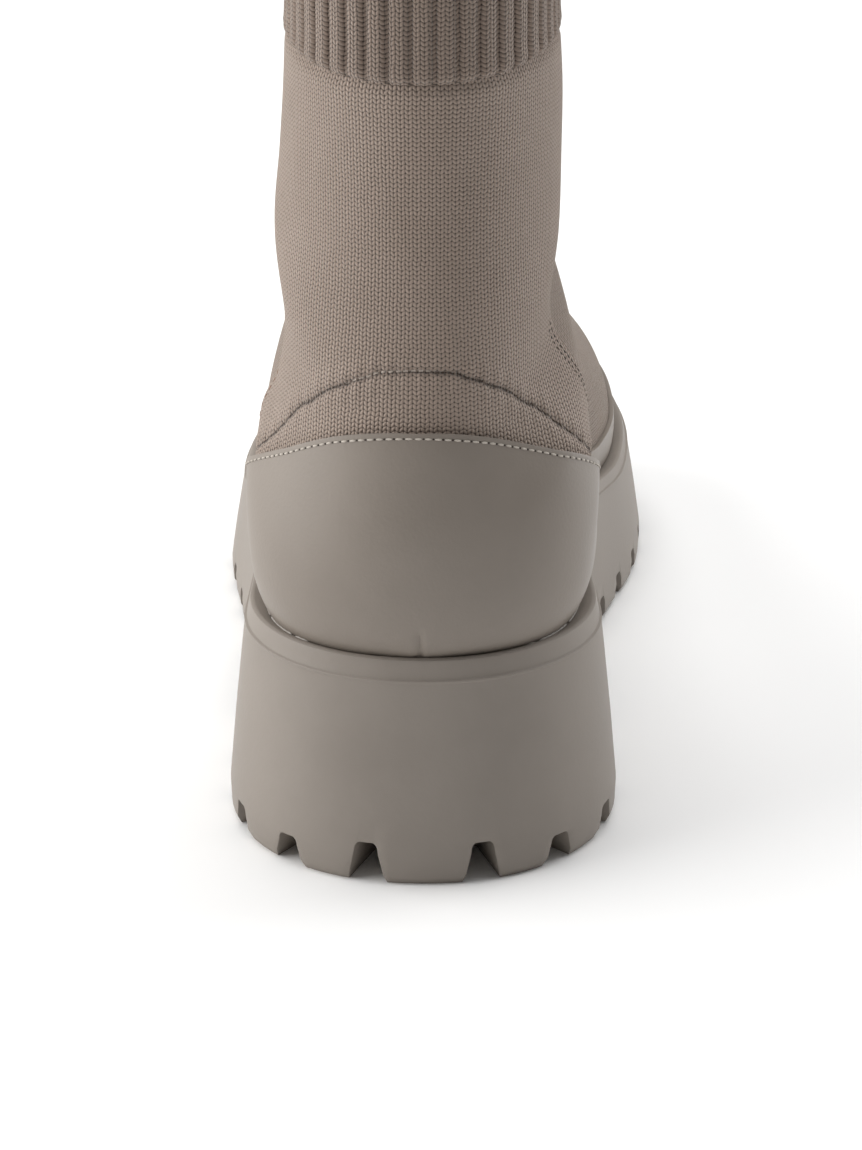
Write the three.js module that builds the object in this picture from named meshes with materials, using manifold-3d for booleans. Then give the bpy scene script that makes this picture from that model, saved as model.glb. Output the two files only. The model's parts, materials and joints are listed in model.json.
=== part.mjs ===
// A left sock boot: a knitted upper with a ribbed cuff, a coated heel counter and foxing, on a lugged
// unit sole. Millimetres, +Z up, toe towards +Y, inner side of the foot towards +X, origin on the floor
// under the middle.
import * as THREE from "three";
import { mergeVertices } from "three/addons/utils/BufferGeometryUtils.js";
import Module from "manifold-3d";

const wasm = await Module();
wasm.setup();

// Sole sizes
const sole_length = 272;
const ball_width = 103; // across the ball, at the floor
const heel_width = 78; // across the heel, at the floor
const heel_height = 44; // floor to the seat under the heel
const ball_height = 28; // floor to the seat under the ball
const toe_height = 37; // floor to the seat at the tip of the toe
const toe_spring = 9; // floor to the underside at the tip of the toe
const toe_swing = 7; // how far the tip of the toe lies to the inner side
const heel_round = 41; // length of the rounded back of the outline
const toe_round = 76; // length of the rounded front of the outline
const heel_length = 77; // back of the heel to its breast, at the floor
const arch_length = 47; // heel breast to the forepart, at the floor
const arch_height = 15;
const back_power = 2.1; // how square the outline's back is, 2 being an ellipse
const front_power = 2.25; // how square its front is
const swing_power = 1.6; // how late the toe swings in
const spring_start = 0.74; // share of the length where the underside leaves the floor
const spring_power = 1.8; // how late it rises
const seat_power = 1.7; // how late the seat rises towards the toe
const wall_lean = 4.7; // how far the side wall leans in on its way up
const ledge_width = 2.3; // from the top edge of the wall to the upper
const rim_lip = 1.2; // how far the top edge stands above the seat

// Lug sizes
const lug_pitch = 17.4; // from notch to notch along the edge
const first_notch = 11.3; // from the middle of the back to the first notch
const lug_shift = 1.6; // how far the row of lugs is moved round to the inner side
const tip_notch = 18.9; // from the tip of the toe to the first notch
const tip_shift = 1.5; // how far the front row of lugs is moved round to the inner side
const notch_height = 8.4; // of the two notches at the back
const side_notch_height = 6.2;
const notch_top = 4;
const notch_foot = 7.8;
const notch_depth = 15; // how far a notch runs in under the sole
const notch_corner = 0.22; // share of a notch's height that its round corners take
const past_edge = 6; // how far a cut runs out past what it cuts
const groove_width = 4;
const groove_depth = 4.6;

// Upper sizes
const instep_rise = 61; // seat to the top of the instep, at the waist of the foot
const ankle_rise = 106; // heel seat to the lower end of the cuff, at the back
const cuff_height = 60;
const shaft_width = 53;
const shaft_depth = 70;
const shaft_back = 11.5; // back of the sole to the back of the shaft
const upper_inset = 9.4; // outline of the sole to the widest line of the upper
const tip_inset = 10; // tip of the sole to the tip of the upper
const tuck = 7; // how far the upper's form reaches below the seat
const toe_drop = 24; // length over which the toe comes down to its tip
const toe_power = 2.3; // how square the toe is, seen from the side
const knit_wall = 2.2;
const lap_step = 0.7; // how far the back panel stands over the front one
const counter_wall = 1.3;
const foxing_wall = 1.1;
const insole_wall = 4;
const gap = 0.3; // between pieces that meet

// Cuff sizes
const rib_pitch = 4.1;
const rib_height = 1.1;
const rib_share = 0.74; // of a pitch that the rib's face takes
const cuff_wall = 1.5;
const cuff_tilt = 11; // how much higher the cuff starts in front than at the back
const cuff_level = 0.3; // share of that tilt that is gone at the collar
const cuff_power = 2.05; // how square the cuff is, seen from above

// How finely the curves are cut
const sole_steps = 26;
const upper_around = 34;
const notch_steps = 3;
const far = 200; // past every edge of the boot
const weld = 1e-4; // points nearer than this are one

// Outline of the sole: half widths to each side as shares of the width that a row follows
const outline_rows = [
  { at: 0.0, of: heel_width, inner: 0.5, outer: 0.5 },
  { at: 0.15, of: heel_width, inner: 0.5, outer: 0.5 },
  { at: 0.24, of: heel_width, inner: 0.475, outer: 0.505 },
  { at: 0.33, of: ball_width, inner: 0.335, outer: 0.395 },
  { at: 0.43, of: ball_width, inner: 0.335, outer: 0.415 },
  { at: 0.53, of: ball_width, inner: 0.395, outer: 0.46 },
  { at: 0.63, of: ball_width, inner: 0.462, outer: 0.505 },
  { at: 0.72, of: ball_width, inner: 0.486, outer: 0.505 },
  { at: 0.82, of: ball_width, inner: 0.48, outer: 0.475 },
  { at: 1.0, of: ball_width, inner: 0.44, outer: 0.43 },
];

// Hollow between heel and forepart, from the heel breast forwards: shares of arch_length and arch_height
const arch_rows = [
  { at: 0.0, up: 0.0 },
  { at: 0.06, up: 0.6 },
  { at: 0.09, up: 0.78 },
  { at: 0.13, up: 0.9 },
  { at: 0.19, up: 0.975 },
  { at: 0.26, up: 1.0 },
  { at: 0.48, up: 0.885 },
  { at: 0.675, up: 0.68 },
  { at: 0.85, up: 0.385 },
  { at: 1.0, up: 0.0 },
];

// Side wall of the sole from the floor up: rise as a share of its height, inset as a share of wall_lean
const wall_rows = [
  { rise: 0.0, inset: 0.22 },
  { rise: 0.04, inset: 0.03 },
  { rise: 0.14, inset: 0.0 },
  { rise: 0.46, inset: 0.3 },
  { rise: 0.76, inset: 0.62 },
  { rise: 0.87, inset: 0.76 },
  { rise: 0.885, inset: 0.86 },
  { rise: 0.97, inset: 0.97 },
  { rise: 1.0, inset: 1.12 },
];

// Height of the seat along the sole: share of the way down from heel to ball, or up from ball to toe
const seat_rows = [
  { at: 0.0, drop: 0.0 },
  { at: 0.24, drop: 0.02 },
  { at: 0.36, drop: 0.24 },
  { at: 0.5, drop: 0.71 },
  { at: 0.62, drop: 0.97 },
  { at: 0.7, drop: 1.0 },
];

// Where the sections of the rounded toe lie, as shares of toe_drop from its tip
const tip_shares = [0.03, 0.16, 0.42];

// Sections of the foot, each in a plane across the foot: top as a share of instep_rise above the seat,
// belly the share of the height at which it is widest, low and high how square it is, lean its crown's shift
const foot_rows = [
  { at: 0.9, top: 0.47, belly: 0.3, low: 2.8, high: 2.1, lean: 0.02 },
  { at: 0.83, top: 0.53, belly: 0.25, low: 2.9, high: 1.95, lean: 0.03 },
  { at: 0.75, top: 0.63, belly: 0.2, low: 3, high: 1.8, lean: 0.045 },
  { at: 0.67, top: 0.745, belly: 0.17, low: 3, high: 1.72, lean: 0.05 },
  { at: 0.59, top: 0.87, belly: 0.15, low: 3, high: 1.68, lean: 0.05 },
  { at: 0.52, top: 1, belly: 0.14, low: 3, high: 1.66, lean: 0.04 },
];

// Sections that turn round the ankle, seen from the side. back and front are their lower and upper ends:
// back_at is a share of sole_length, front_at of shaft_depth from the back of the shaft, and the heights are
// shares of ankle_rise above the heel's seat. Where back_up is null, the lower end follows the seat.
const ankle_ends = [
  { back_at: 0.435, back_up: null, front_at: 1.67, front_up: 0.52 },
  { back_at: 0.335, back_up: null, front_at: 1.49, front_up: 0.585 },
  { back_at: 0.235, back_up: null, front_at: 1.36, front_up: 0.64 },
  { back_at: 0.14, back_up: null, front_at: 1.265, front_up: 0.69 },
  { back_at: 0.062, back_up: -0.055, front_at: 1.19, front_up: 0.735 },
  { back_at: 0.026, back_up: 0.04, front_at: 1.135, front_up: 0.785 },
  { back_at: 0.019, back_up: 0.185, front_at: 1.09, front_up: 0.83 },
  { back_at: 0.027, back_up: 0.355, front_at: 1.055, front_up: 0.88 },
  { back_at: 0.0405, back_up: 0.53, front_at: 1.03, front_up: 0.935 },
  { back_at: 0.0475, back_up: 0.7, front_at: 1.01, front_up: 0.99 },
  { back_at: 0.047, back_up: 0.86, front_at: 1.003, front_up: 1.045 },
];

// The same sections across the boot. inner and outer are half widths as shares of shaft_width, or null where
// they follow the outline of the sole.
const ankle_shapes = [
  { inner: null, outer: null, belly: 0.14, low: 3, high: 1.66, lean: 0.03 },
  { inner: null, outer: null, belly: 0.17, low: 3, high: 1.7, lean: 0.02 },
  { inner: null, outer: null, belly: 0.21, low: 3, high: 1.76, lean: 0.01 },
  { inner: 0.6, outer: 0.6, belly: 0.25, low: 2.9, high: 1.85, lean: 0 },
  { inner: 0.598, outer: 0.598, belly: 0.29, low: 2.5, high: 1.85, lean: 0 },
  { inner: 0.6, outer: 0.59, belly: 0.34, low: 2.15, high: 1.78, lean: 0 },
  { inner: 0.558, outer: 0.51, belly: 0.37, low: 2.05, high: 1.72, lean: 0 },
  { inner: 0.45, outer: 0.482, belly: 0.42, low: 2, high: 1.95, lean: 0 },
  { inner: 0.474, outer: 0.519, belly: 0.46, low: 2, high: 2, lean: 0 },
  { inner: 0.478, outer: 0.5, belly: 0.48, low: 2, high: 2, lean: 0 },
  { inner: 0.478, outer: 0.483, belly: 0.49, low: 2.05, high: 2.05, lean: 0 },
];

// Sections of the cuff from its lower end up: shares of cuff_height, shaft_depth and shaft_width
const cuff_rows = [
  { up: 0, back: 0, front: 1, inner: 0.466, outer: 0.472 },
  { up: 0.12, back: -0.006, front: 0.985, inner: 0.458, outer: 0.464 },
  { up: 0.55, back: -0.03, front: 0.975, inner: 0.46, outer: 0.464 },
  { up: 1, back: -0.055, front: 0.975, inner: 0.47, outer: 0.476 },
];

// Top edge of the heel counter, seen from the side: shares of sole_length and of ankle_rise
const counter_rows = [
  { at: -0.1, up: 0.422 },
  { at: 0.0185, up: 0.422 },
  { at: 0.04, up: 0.395 },
  { at: 0.07, up: 0.35 },
  { at: 0.12, up: 0.29 },
  { at: 0.17, up: 0.235 },
  { at: 0.23, up: 0.165 },
  { at: 0.285, up: 0.1 },
  { at: 0.315, up: 0.065 },
];

// Top edge of the foxing above the seat, seen from the side: shares of sole_length and of instep_rise
const foxing_rows = [
  { at: 0.3, rise: 0.15 },
  { at: 0.4, rise: 0.132 },
  { at: 0.51, rise: 0.117 },
  { at: 0.6, rise: 0.11 },
  { at: 0.7, rise: 0.112 },
  { at: 0.85, rise: 0.13 },
  { at: 0.93, rise: 0.165 },
  { at: 1.02, rise: 0.185 },
];

// Front edge of the back panel, seen from the side: shares of sole_length and of ankle_rise
const lap_rows = [
  { at: 0.176, up: -0.2 },
  { at: 0.169, up: 0.245 },
  { at: 0.162, up: 0.32 },
  { at: 0.151, up: 0.396 },
  { at: 0.138, up: 0.462 },
  { at: 0.132, up: 0.528 },
  { at: 0.138, up: 0.604 },
  { at: 0.154, up: 0.717 },
  { at: 0.167, up: 0.858 },
  { at: 0.173, up: 1.3 },
];

// Value of a named column at a place along rows, smooth through every row
function along(rows, key, column, at) {
  const last = rows.length - 1;
  if (at <= rows[0][key]) return rows[0][column];
  if (at >= rows[last][key]) return rows[last][column];
  const i = rows.findIndex((row) => row[key] > at) - 1;
  const slope = (a, b) => (rows[b][column] - rows[a][column]) / (rows[b][key] - rows[a][key]);
  const span = rows[i + 1][key] - rows[i][key];
  const start = slope(Math.max(i - 1, 0), i + 1) * span;
  const end = slope(i, Math.min(i + 2, last)) * span;
  return hermite(rows[i][column], rows[i + 1][column], start, end, (at - rows[i][key]) / span);
}

function hermite(a, b, start, end, t) {
  const t2 = t * t;
  const t3 = t2 * t;
  return a * (2 * t3 - 3 * t2 + 1) + b * (3 * t2 - 2 * t3) + start * (t3 - 2 * t2 + t) + end * (t3 - t2);
}

// How much of its full width an outline has a given way into its rounded end
function rounding(way_in, round, power) {
  if (way_in >= round) return 1;
  const left = Math.min(Math.max((round - way_in) / round, 0), 1);
  return Math.pow(1 - Math.pow(left, power), 1 / power);
}

// Half width of the sole's outline at y, drawn in by inset on all sides; side is inner or outer
function halfWidth(y, side, inset) {
  const widths = outline_rows.map((row) => ({ at: row.at, half: row[side] * row.of }));
  const full = along(widths, "at", "half", y / sole_length) - inset;
  const back = rounding(y - inset, heel_round - inset, back_power);
  const front = rounding(sole_length - inset - y, toe_round - inset, front_power);
  return full * back * front;
}

// The outline's own middle line, which swings to the inner side towards the toe
function middle(y) {
  const start = sole_length - toe_round;
  return toe_swing * Math.pow(Math.max(0, (y - start) / toe_round), swing_power);
}

function seat(y) {
  const at = y / sole_length;
  const flat = seat_rows[seat_rows.length - 1].at;
  if (at <= flat) return heel_height - along(seat_rows, "at", "drop", at) * (heel_height - ball_height);
  return ball_height + (toe_height - ball_height) * Math.pow((at - flat) / (1 - flat), seat_power);
}

function underside(y) {
  const way = (y / sole_length - spring_start) / (1 - spring_start);
  return toe_spring * Math.pow(Math.max(0, way), spring_power);
}

// Geometry from rings of equal length, closed by a fan or a strip at each end
function skin(rings, closeStart, closeEnd) {
  const count = rings[0].length;
  const triangles = [];
  for (let r = 0; r + 1 < rings.length; r++)
    for (let i = 0; i < count; i++) {
      const j = (i + 1) % count;
      const [a, b] = [r * count + i, r * count + j];
      triangles.push(a, b, b + count, a, b + count, a + count);
    }
  closeStart(triangles, 0, count, true);
  closeEnd(triangles, (rings.length - 1) * count, count, false);
  const geometry = new THREE.BufferGeometry();
  const points = rings.flat().flatMap((p) => [p.x, p.y, p.z]);
  geometry.setAttribute("position", new THREE.Float32BufferAttribute(points, 3));
  geometry.setIndex(triangles);
  return geometry;
}

function addTriangle(triangles, a, b, c, turned) {
  if (turned) triangles.push(a, c, b);
  else triangles.push(a, b, c);
}

// Closes a ring whose points lie in pairs on its two sides, as the outline of the sole does
function pairedCap(triangles, first, count, turned) {
  const left = (i) => first + ((count - i) % count);
  for (let i = 0; i < count / 2; i++) {
    const right = first + i;
    if (i > 0) addTriangle(triangles, right, right + 1, left(i), turned);
    if (i + 1 < count / 2) addTriangle(triangles, right + 1, left(i + 1), left(i), turned);
  }
}

function fanCap(triangles, first, count, turned) {
  for (let i = 1; i + 1 < count; i++) addTriangle(triangles, first, first + i, first + i + 1, turned);
}

function solidOf(geometry) {
  const bare = geometry.index ? geometry.toNonIndexed() : geometry.clone();
  bare.deleteAttribute("normal");
  bare.deleteAttribute("uv");
  const merged = mergeVertices(bare, weld);
  const vertProperties = merged.attributes.position.array;
  const triVerts = new Uint32Array(merged.index.array);
  return new wasm.Manifold(new wasm.Mesh({ numProp: 3, vertProperties, triVerts }));
}

function geometryOf(solid) {
  const mesh = solid.getMesh();
  const geometry = new THREE.BufferGeometry();
  const stride = mesh.numProp;
  const points = new Float32Array(mesh.numVert * 3);
  for (let i = 0; i < mesh.numVert; i++) {
    const first = i * stride;
    points.set(mesh.vertProperties.subarray(first, first + 3), i * 3);
  }
  geometry.setAttribute("position", new THREE.BufferAttribute(points, 3));
  geometry.setIndex(new THREE.BufferAttribute(mesh.triVerts, 1));
  return geometry;
}

// A shape drawn from the side, as y and z, standing right across the boot
function acrossBoot(shape) {
  const geometry = new THREE.ExtrudeGeometry(shape, { depth: 2 * far, bevelEnabled: false });
  const turned = new THREE.Matrix4().makeBasis(
    new THREE.Vector3(0, 1, 0),
    new THREE.Vector3(0, 0, 1),
    new THREE.Vector3(1, 0, 0),
  );
  turned.setPosition(-far, 0, 0);
  return solidOf(geometry.applyMatrix4(turned));
}

function polygon(points) {
  return new THREE.Shape(points.map(([y, z]) => new THREE.Vector2(y, z)));
}

// Everything below a height that follows y
function below(height, steps) {
  const points = [[-far, -far]];
  for (let i = 0; i <= steps; i++) {
    const y = (sole_length * i) / steps;
    points.push([y, height(y)]);
  }
  points[1][0] = -far;
  points[points.length - 1][0] = 2 * far;
  points.push([2 * far, -far]);
  return acrossBoot(polygon(points.reverse()));
}

// Sole: one ring of the outline, drawn in by inset, at a height that follows y
function outlineRing(inset, height) {
  const side = { inner: [], outer: [] };
  for (let i = 1; i < sole_steps; i++) {
    const share = 0.5 - 0.5 * Math.cos((Math.PI * i) / sole_steps);
    const y = inset + share * (sole_length - 2 * inset);
    side.inner.push(new THREE.Vector3(middle(y) + halfWidth(y, "inner", inset), y, height(y)));
    side.outer.push(new THREE.Vector3(middle(y) - halfWidth(y, "outer", inset), y, height(y)));
  }
  const back = new THREE.Vector3(middle(inset), inset, height(inset));
  const tip_y = sole_length - inset;
  const tip = new THREE.Vector3(middle(tip_y), tip_y, height(tip_y));
  return [back, ...side.inner, tip, ...side.outer.reverse()];
}

function soleBody() {
  const rings = wall_rows.map((row) => {
    const height = (y) => underside(y) + row.rise * (seat(y) + rim_lip - underside(y));
    return outlineRing(row.inset * wall_lean, height);
  });
  rings.push(outlineRing(wall_lean + ledge_width, seat));
  return solidOf(skin(rings, pairedCap, pairedCap));
}

// The hollow between heel and forepart, with a steep breast and a long front
function archCut() {
  const line = arch_rows.map((row) => [heel_length + row.at * arch_length, row.up * arch_height]);
  const front = heel_length + arch_length;
  return acrossBoot(polygon([[front, -past_edge], ...line.reverse(), [heel_length, -past_edge]]));
}

// One notch between two lugs: narrow at its rounded top and wide at the floor
function notchCut(place, outward, height) {
  const lift = underside(place.y);
  const corner = notch_corner * height;
  const top = notch_top / 2;
  const foot = notch_foot / 2;
  const start = foot + (foot - top) / 2;
  const shape = new THREE.Shape();
  shape.moveTo(-start, lift - height / 2);
  shape.lineTo(start, lift - height / 2);
  shape.lineTo(top, lift + height - corner);
  shape.quadraticCurveTo(top, lift + height, top - corner, lift + height);
  shape.lineTo(corner - top, lift + height);
  shape.quadraticCurveTo(-top, lift + height, -top, lift + height - corner);
  const options = { depth: notch_depth + past_edge, bevelEnabled: false, curveSegments: notch_steps };
  const geometry = new THREE.ExtrudeGeometry(shape, options);
  const along_edge = new THREE.Vector3(-outward.y, outward.x, 0);
  const frame = new THREE.Matrix4().makeBasis(along_edge, new THREE.Vector3(0, 0, 1), outward);
  frame.setPosition(place.x - outward.x * notch_depth, place.y - outward.y * notch_depth, 0);
  return solidOf(geometry.applyMatrix4(frame));
}

// A point of the edge and the way out of the sole there, a given run along the edge from its back
function edgePlace(edge, run) {
  let left = run;
  let i = 0;
  while (i < edge.length - 2 && left > edge[i].distanceTo(edge[i + 1])) {
    left -= edge[i].distanceTo(edge[i + 1]);
    i += 1;
  }
  const way = edge[i + 1].clone().sub(edge[i]).normalize();
  return { place: edge[i].clone().addScaledVector(way, left), way };
}

// Notches along both sides, counted from the back under the heel and from the toe under the forepart
function notchCuts() {
  const ring = outlineRing(0, () => 0);
  const half = ring.length / 2;
  const cuts = [];
  for (const turn of [1, -1]) {
    const edge = [];
    for (let i = 0; i <= half; i++) edge.push(ring[(turn * i + ring.length) % ring.length]);
    const length = edge.slice(1).reduce((sum, p, i) => sum + p.distanceTo(edge[i]), 0);
    const add = (run, height) => {
      const { place, way } = edgePlace(edge, run);
      cuts.push(notchCut(place, new THREE.Vector3(way.y * turn, -way.x * turn, 0), height));
    };
    const back = first_notch + turn * lug_shift;
    const heel_end = heel_length - lug_pitch / 2;
    for (let run = back; edgePlace(edge, run).place.y < heel_end; run += lug_pitch)
      add(run, run === back ? notch_height : side_notch_height);
    const toe_end = heel_length + arch_length + lug_pitch / 2;
    const front = length - tip_notch + turn * tip_shift;
    for (let run = front; edgePlace(edge, run).place.y > toe_end; run -= lug_pitch)
      add(run, side_notch_height);
  }
  return cuts;
}

// The groove that parts the edge lugs from the middle, and the bars across the middle
function treadCut() {
  const slab = (inset, height) => {
    const rings = [outlineRing(inset, () => -past_edge), outlineRing(inset, height)];
    return solidOf(skin(rings, pairedCap, pairedCap));
  };
  const bars = [];
  for (let y = heel_round - notch_depth; y < sole_length - toe_round / 2; y += lug_pitch) {
    const bar = new THREE.BoxGeometry(ball_width, groove_width, 4 * heel_height);
    bars.push(solidOf(bar.translate(0, y, 0)));
  }
  const blocks = slab(notch_depth + groove_width, () => heel_height).subtract(wasm.Manifold.union(bars));
  return slab(notch_depth, (y) => underside(y) + groove_depth).subtract(blocks);
}

function outsole() {
  const cuts = wasm.Manifold.union([archCut(), treadCut(), ...notchCuts()]);
  return soleBody().subtract(cuts);
}

// Upper: every section as numbers, from the tip of the toe round the ankle to the collar
function sections() {
  const list = [];
  const form_tip = sole_length - tip_inset;
  const from_tip = tip_shares.map((share) => {
    return { ...foot_rows[0], at: (form_tip - share * toe_drop) / sole_length };
  });
  for (const row of [...from_tip, ...foot_rows]) {
    const y = row.at * sole_length;
    const round = rounding(form_tip - y, toe_drop, toe_power);
    const rise = row.top * instep_rise * round;
    list.push({
      ...row,
      back_y: y,
      back_z: seat(y) - tuck * round,
      front_y: y,
      front_z: seat(y) + rise,
      inner: halfWidth(y, "inner", upper_inset),
      outer: halfWidth(y, "outer", upper_inset),
      lean: row.lean * ball_width,
      middle: middle(y),
    });
  }
  ankle_ends.forEach((ends, i) => {
    const shape = ankle_shapes[i];
    const y = ends.back_at * sole_length;
    const on_seat = ends.back_up === null;
    list.push({
      ...shape,
      back_y: y,
      back_z: on_seat ? seat(y) - tuck : heel_height + ends.back_up * ankle_rise,
      front_y: shaft_back + ends.front_at * shaft_depth,
      front_z: heel_height + ends.front_up * ankle_rise,
      inner: shape.inner === null ? halfWidth(y, "inner", upper_inset) : shape.inner * shaft_width,
      outer: shape.outer === null ? halfWidth(y, "outer", upper_inset) : shape.outer * shaft_width,
      lean: shape.lean * ball_width,
      middle: 0,
    });
  });
  for (const row of cuff_rows) {
    const front_rise = cuff_tilt + row.up * (cuff_height - cuff_level * cuff_tilt);
    list.push({
      back_y: shaft_back + row.back * shaft_depth,
      back_z: heel_height + ankle_rise + row.up * cuff_height,
      front_y: shaft_back + row.front * shaft_depth,
      front_z: heel_height + ankle_rise + front_rise,
      inner: row.inner * shaft_width,
      outer: row.outer * shaft_width,
      belly: 0.5,
      low: cuff_power,
      high: cuff_power,
      lean: 0,
      middle: 0,
    });
  }
  return list;
}

const section_list = sections();
section_list.forEach((section, i) => (section.place = i));
const cuff_start = section_list.length - cuff_rows.length;
const section_columns = [
  "back_y",
  "back_z",
  "front_y",
  "front_z",
  "inner",
  "outer",
  "belly",
  "low",
  "high",
  "lean",
  "middle",
];

function sectionAt(place) {
  const section = {};
  for (const column of section_columns) section[column] = along(section_list, "place", column, place);
  return section;
}

// Point of the upper's form; angle 0 is the inner side and a quarter turn is the top or front
function formPoint(place, angle) {
  const section = sectionAt(place);
  const [c, s] = [Math.cos(angle), Math.sin(angle)];
  const power = 2 / (s < 0 ? section.low : section.high);
  const up = Math.sign(s) * Math.pow(Math.abs(s), power);
  const share = section.belly + up * (up < 0 ? section.belly : 1 - section.belly);
  const half = c < 0 ? section.outer : section.inner;
  const side = Math.sign(c) * Math.pow(Math.abs(c), power) * half;
  return new THREE.Vector3(
    section.middle + section.lean * share + side,
    section.back_y + (section.front_y - section.back_y) * share,
    section.back_z + (section.front_z - section.back_z) * share,
  );
}

// The form's point moved out along its normal
function upperPoint(place, angle, offset) {
  const step = 0.02;
  const low = Math.max(place - step, 0);
  const high = Math.min(place + step, section_list.length - 1);
  const way = formPoint(high, angle).sub(formPoint(low, angle));
  const round = formPoint(place, angle + step).sub(formPoint(place, angle - step));
  const normal = round.cross(way).normalize();
  return formPoint(place, angle).addScaledVector(normal, offset);
}

// The whole form as one closed body, moved out by offset, from the toe to a little way into the cuff
function upperBody(offset) {
  const rings = [];
  const turn = (2 * Math.PI) / upper_around;
  for (let place = 0; place <= cuff_start + 1; place++) {
    const ring = [];
    for (let i = 0; i < upper_around; i++) ring.push(upperPoint(place, (i + 0.5) * turn, offset));
    rings.push(ring);
  }
  return solidOf(skin(rings, fanCap, fanCap));
}

// Everything above the line where the cuff starts
function aboveCuffLine() {
  const start = section_list[cuff_start];
  const slope = (start.front_z - start.back_z) / (start.front_y - start.back_y);
  const at = (y) => [y, start.back_z + slope * (y - start.back_y)];
  return acrossBoot(polygon([at(-far), at(far), [far, 2 * far], [-far, 2 * far]]));
}

// The sole without its tread, lifted by the gap, with all that lies under it
function raisedSole() {
  const under = new THREE.BoxGeometry(ball_width, sole_length, ball_height).translate(0, sole_length / 2, 0);
  return soleBody().translate([0, 0, gap]).add(solidOf(under));
}

// Everything below an edge line drawn from the side, between the line's two ends
function regionBelow(rows, height) {
  const points = rows.map((row) => [row.at * sole_length, height(row)]);
  const first = points[0];
  const last = points[points.length - 1];
  return acrossBoot(polygon([[first[0], -far], [last[0], -far], ...points.reverse()]));
}

function upper() {
  const lap_edge = lap_rows.map((row) => [row.at * sole_length, heel_height + row.up * ankle_rise]);
  const behind = acrossBoot(polygon([[-far, -far], ...lap_edge, [-far, far]]));
  return upperBody(0)
    .add(upperBody(lap_step).intersect(behind))
    .subtract(upperBody(-knit_wall))
    .subtract(raisedSole())
    .subtract(aboveCuffLine());
}

// A layer over the knit between two forms, inside a region drawn from the side
function layer(thickness, region) {
  const outside = upperBody(lap_step + gap + thickness);
  const inside = upperBody(lap_step + gap);
  return outside.subtract(inside).intersect(region).subtract(raisedSole());
}

function counter() {
  return layer(counter_wall, regionBelow(counter_rows, (row) => heel_height + row.up * ankle_rise));
}

function foxing() {
  const rows = foxing_rows.map((row) => ({ ...row }));
  rows[0].at = counter_rows[counter_rows.length - 1].at + (2 * gap) / sole_length;
  const height = (row) => seat(row.at * sole_length) + row.rise * instep_rise;
  return layer(foxing_wall, regionBelow(rows, height));
}

function insole() {
  const below_top = below((y) => seat(y) + gap + insole_wall, sole_steps);
  return upperBody(-knit_wall - gap).intersect(below_top).subtract(raisedSole());
}

// Ribbed cuff: a tube whose outer face rises into ribs, with a smooth inner face
function cuff() {
  const perimeter = (Math.PI * (shaft_width + shaft_depth)) / 2;
  const ribs = Math.round(perimeter / rib_pitch);
  const corners = [0, (1 - rib_share) / 2, (1 + rib_share) / 2];
  const ring = (place, inside) => {
    const points = [];
    for (let rib = 0; rib < ribs; rib++)
      for (const corner of corners) {
        const angle = (2 * Math.PI * (rib + corner)) / ribs;
        const outward = corner === 0 ? 0 : rib_height;
        const point = upperPoint(place, angle, inside ? -cuff_wall : outward);
        if (place === cuff_start) point.z += gap;
        points.push(point);
      }
    return points;
  };
  const places = cuff_rows.map((row, i) => cuff_start + i);
  const outer = places.map((place) => ring(place, false));
  const inner = places.map((place) => ring(place, true)).reverse();
  const none = () => {};
  return solidOf(skin([...outer, ...inner, outer[0]], none, none));
}

// Finishes
const rubber = new THREE.MeshStandardMaterial({ color: 0x8b837b, roughness: 0.7, metalness: 0 });
const knit = new THREE.MeshStandardMaterial({ color: 0x85786c, roughness: 0.95, metalness: 0 });
const coated = new THREE.MeshStandardMaterial({ color: 0x857d74, roughness: 0.5, metalness: 0 });
const lining = new THREE.MeshStandardMaterial({ color: 0x9a8f84, roughness: 0.9, metalness: 0 });

function part(name, solid, material) {
  const mesh = new THREE.Mesh(geometryOf(solid), material);
  mesh.name = name;
  return mesh;
}

const boot = new THREE.Group();
boot.add(part("outsole", outsole(), rubber));
boot.add(part("insole", insole(), lining));
boot.add(part("upper", upper(), knit));
boot.add(part("cuff", cuff(), knit));
boot.add(part("counter", counter(), coated));
boot.add(part("foxing", foxing(), coated));

const box = new THREE.Box3().setFromObject(boot);
boot.position.set(-(box.min.x + box.max.x) / 2, -(box.min.y + box.max.y) / 2, 0);

export default boot;
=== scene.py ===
# %% [markdown]
# # A knitted sock boot on a lugged sole
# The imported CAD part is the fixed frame: it says where every piece of the boot lies and how big it is.
# This lesson lays the visible pieces over it. The knit and the coated leather are sheets that are drawn
# over a shoe last, so they are made here in the same way: a flat cloth is added and its points are moved
# onto the last, whose shape is given by a few tables of sizes.

import json
import math

import bpy
import numpy as np
from mathutils import Matrix, Vector

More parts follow.
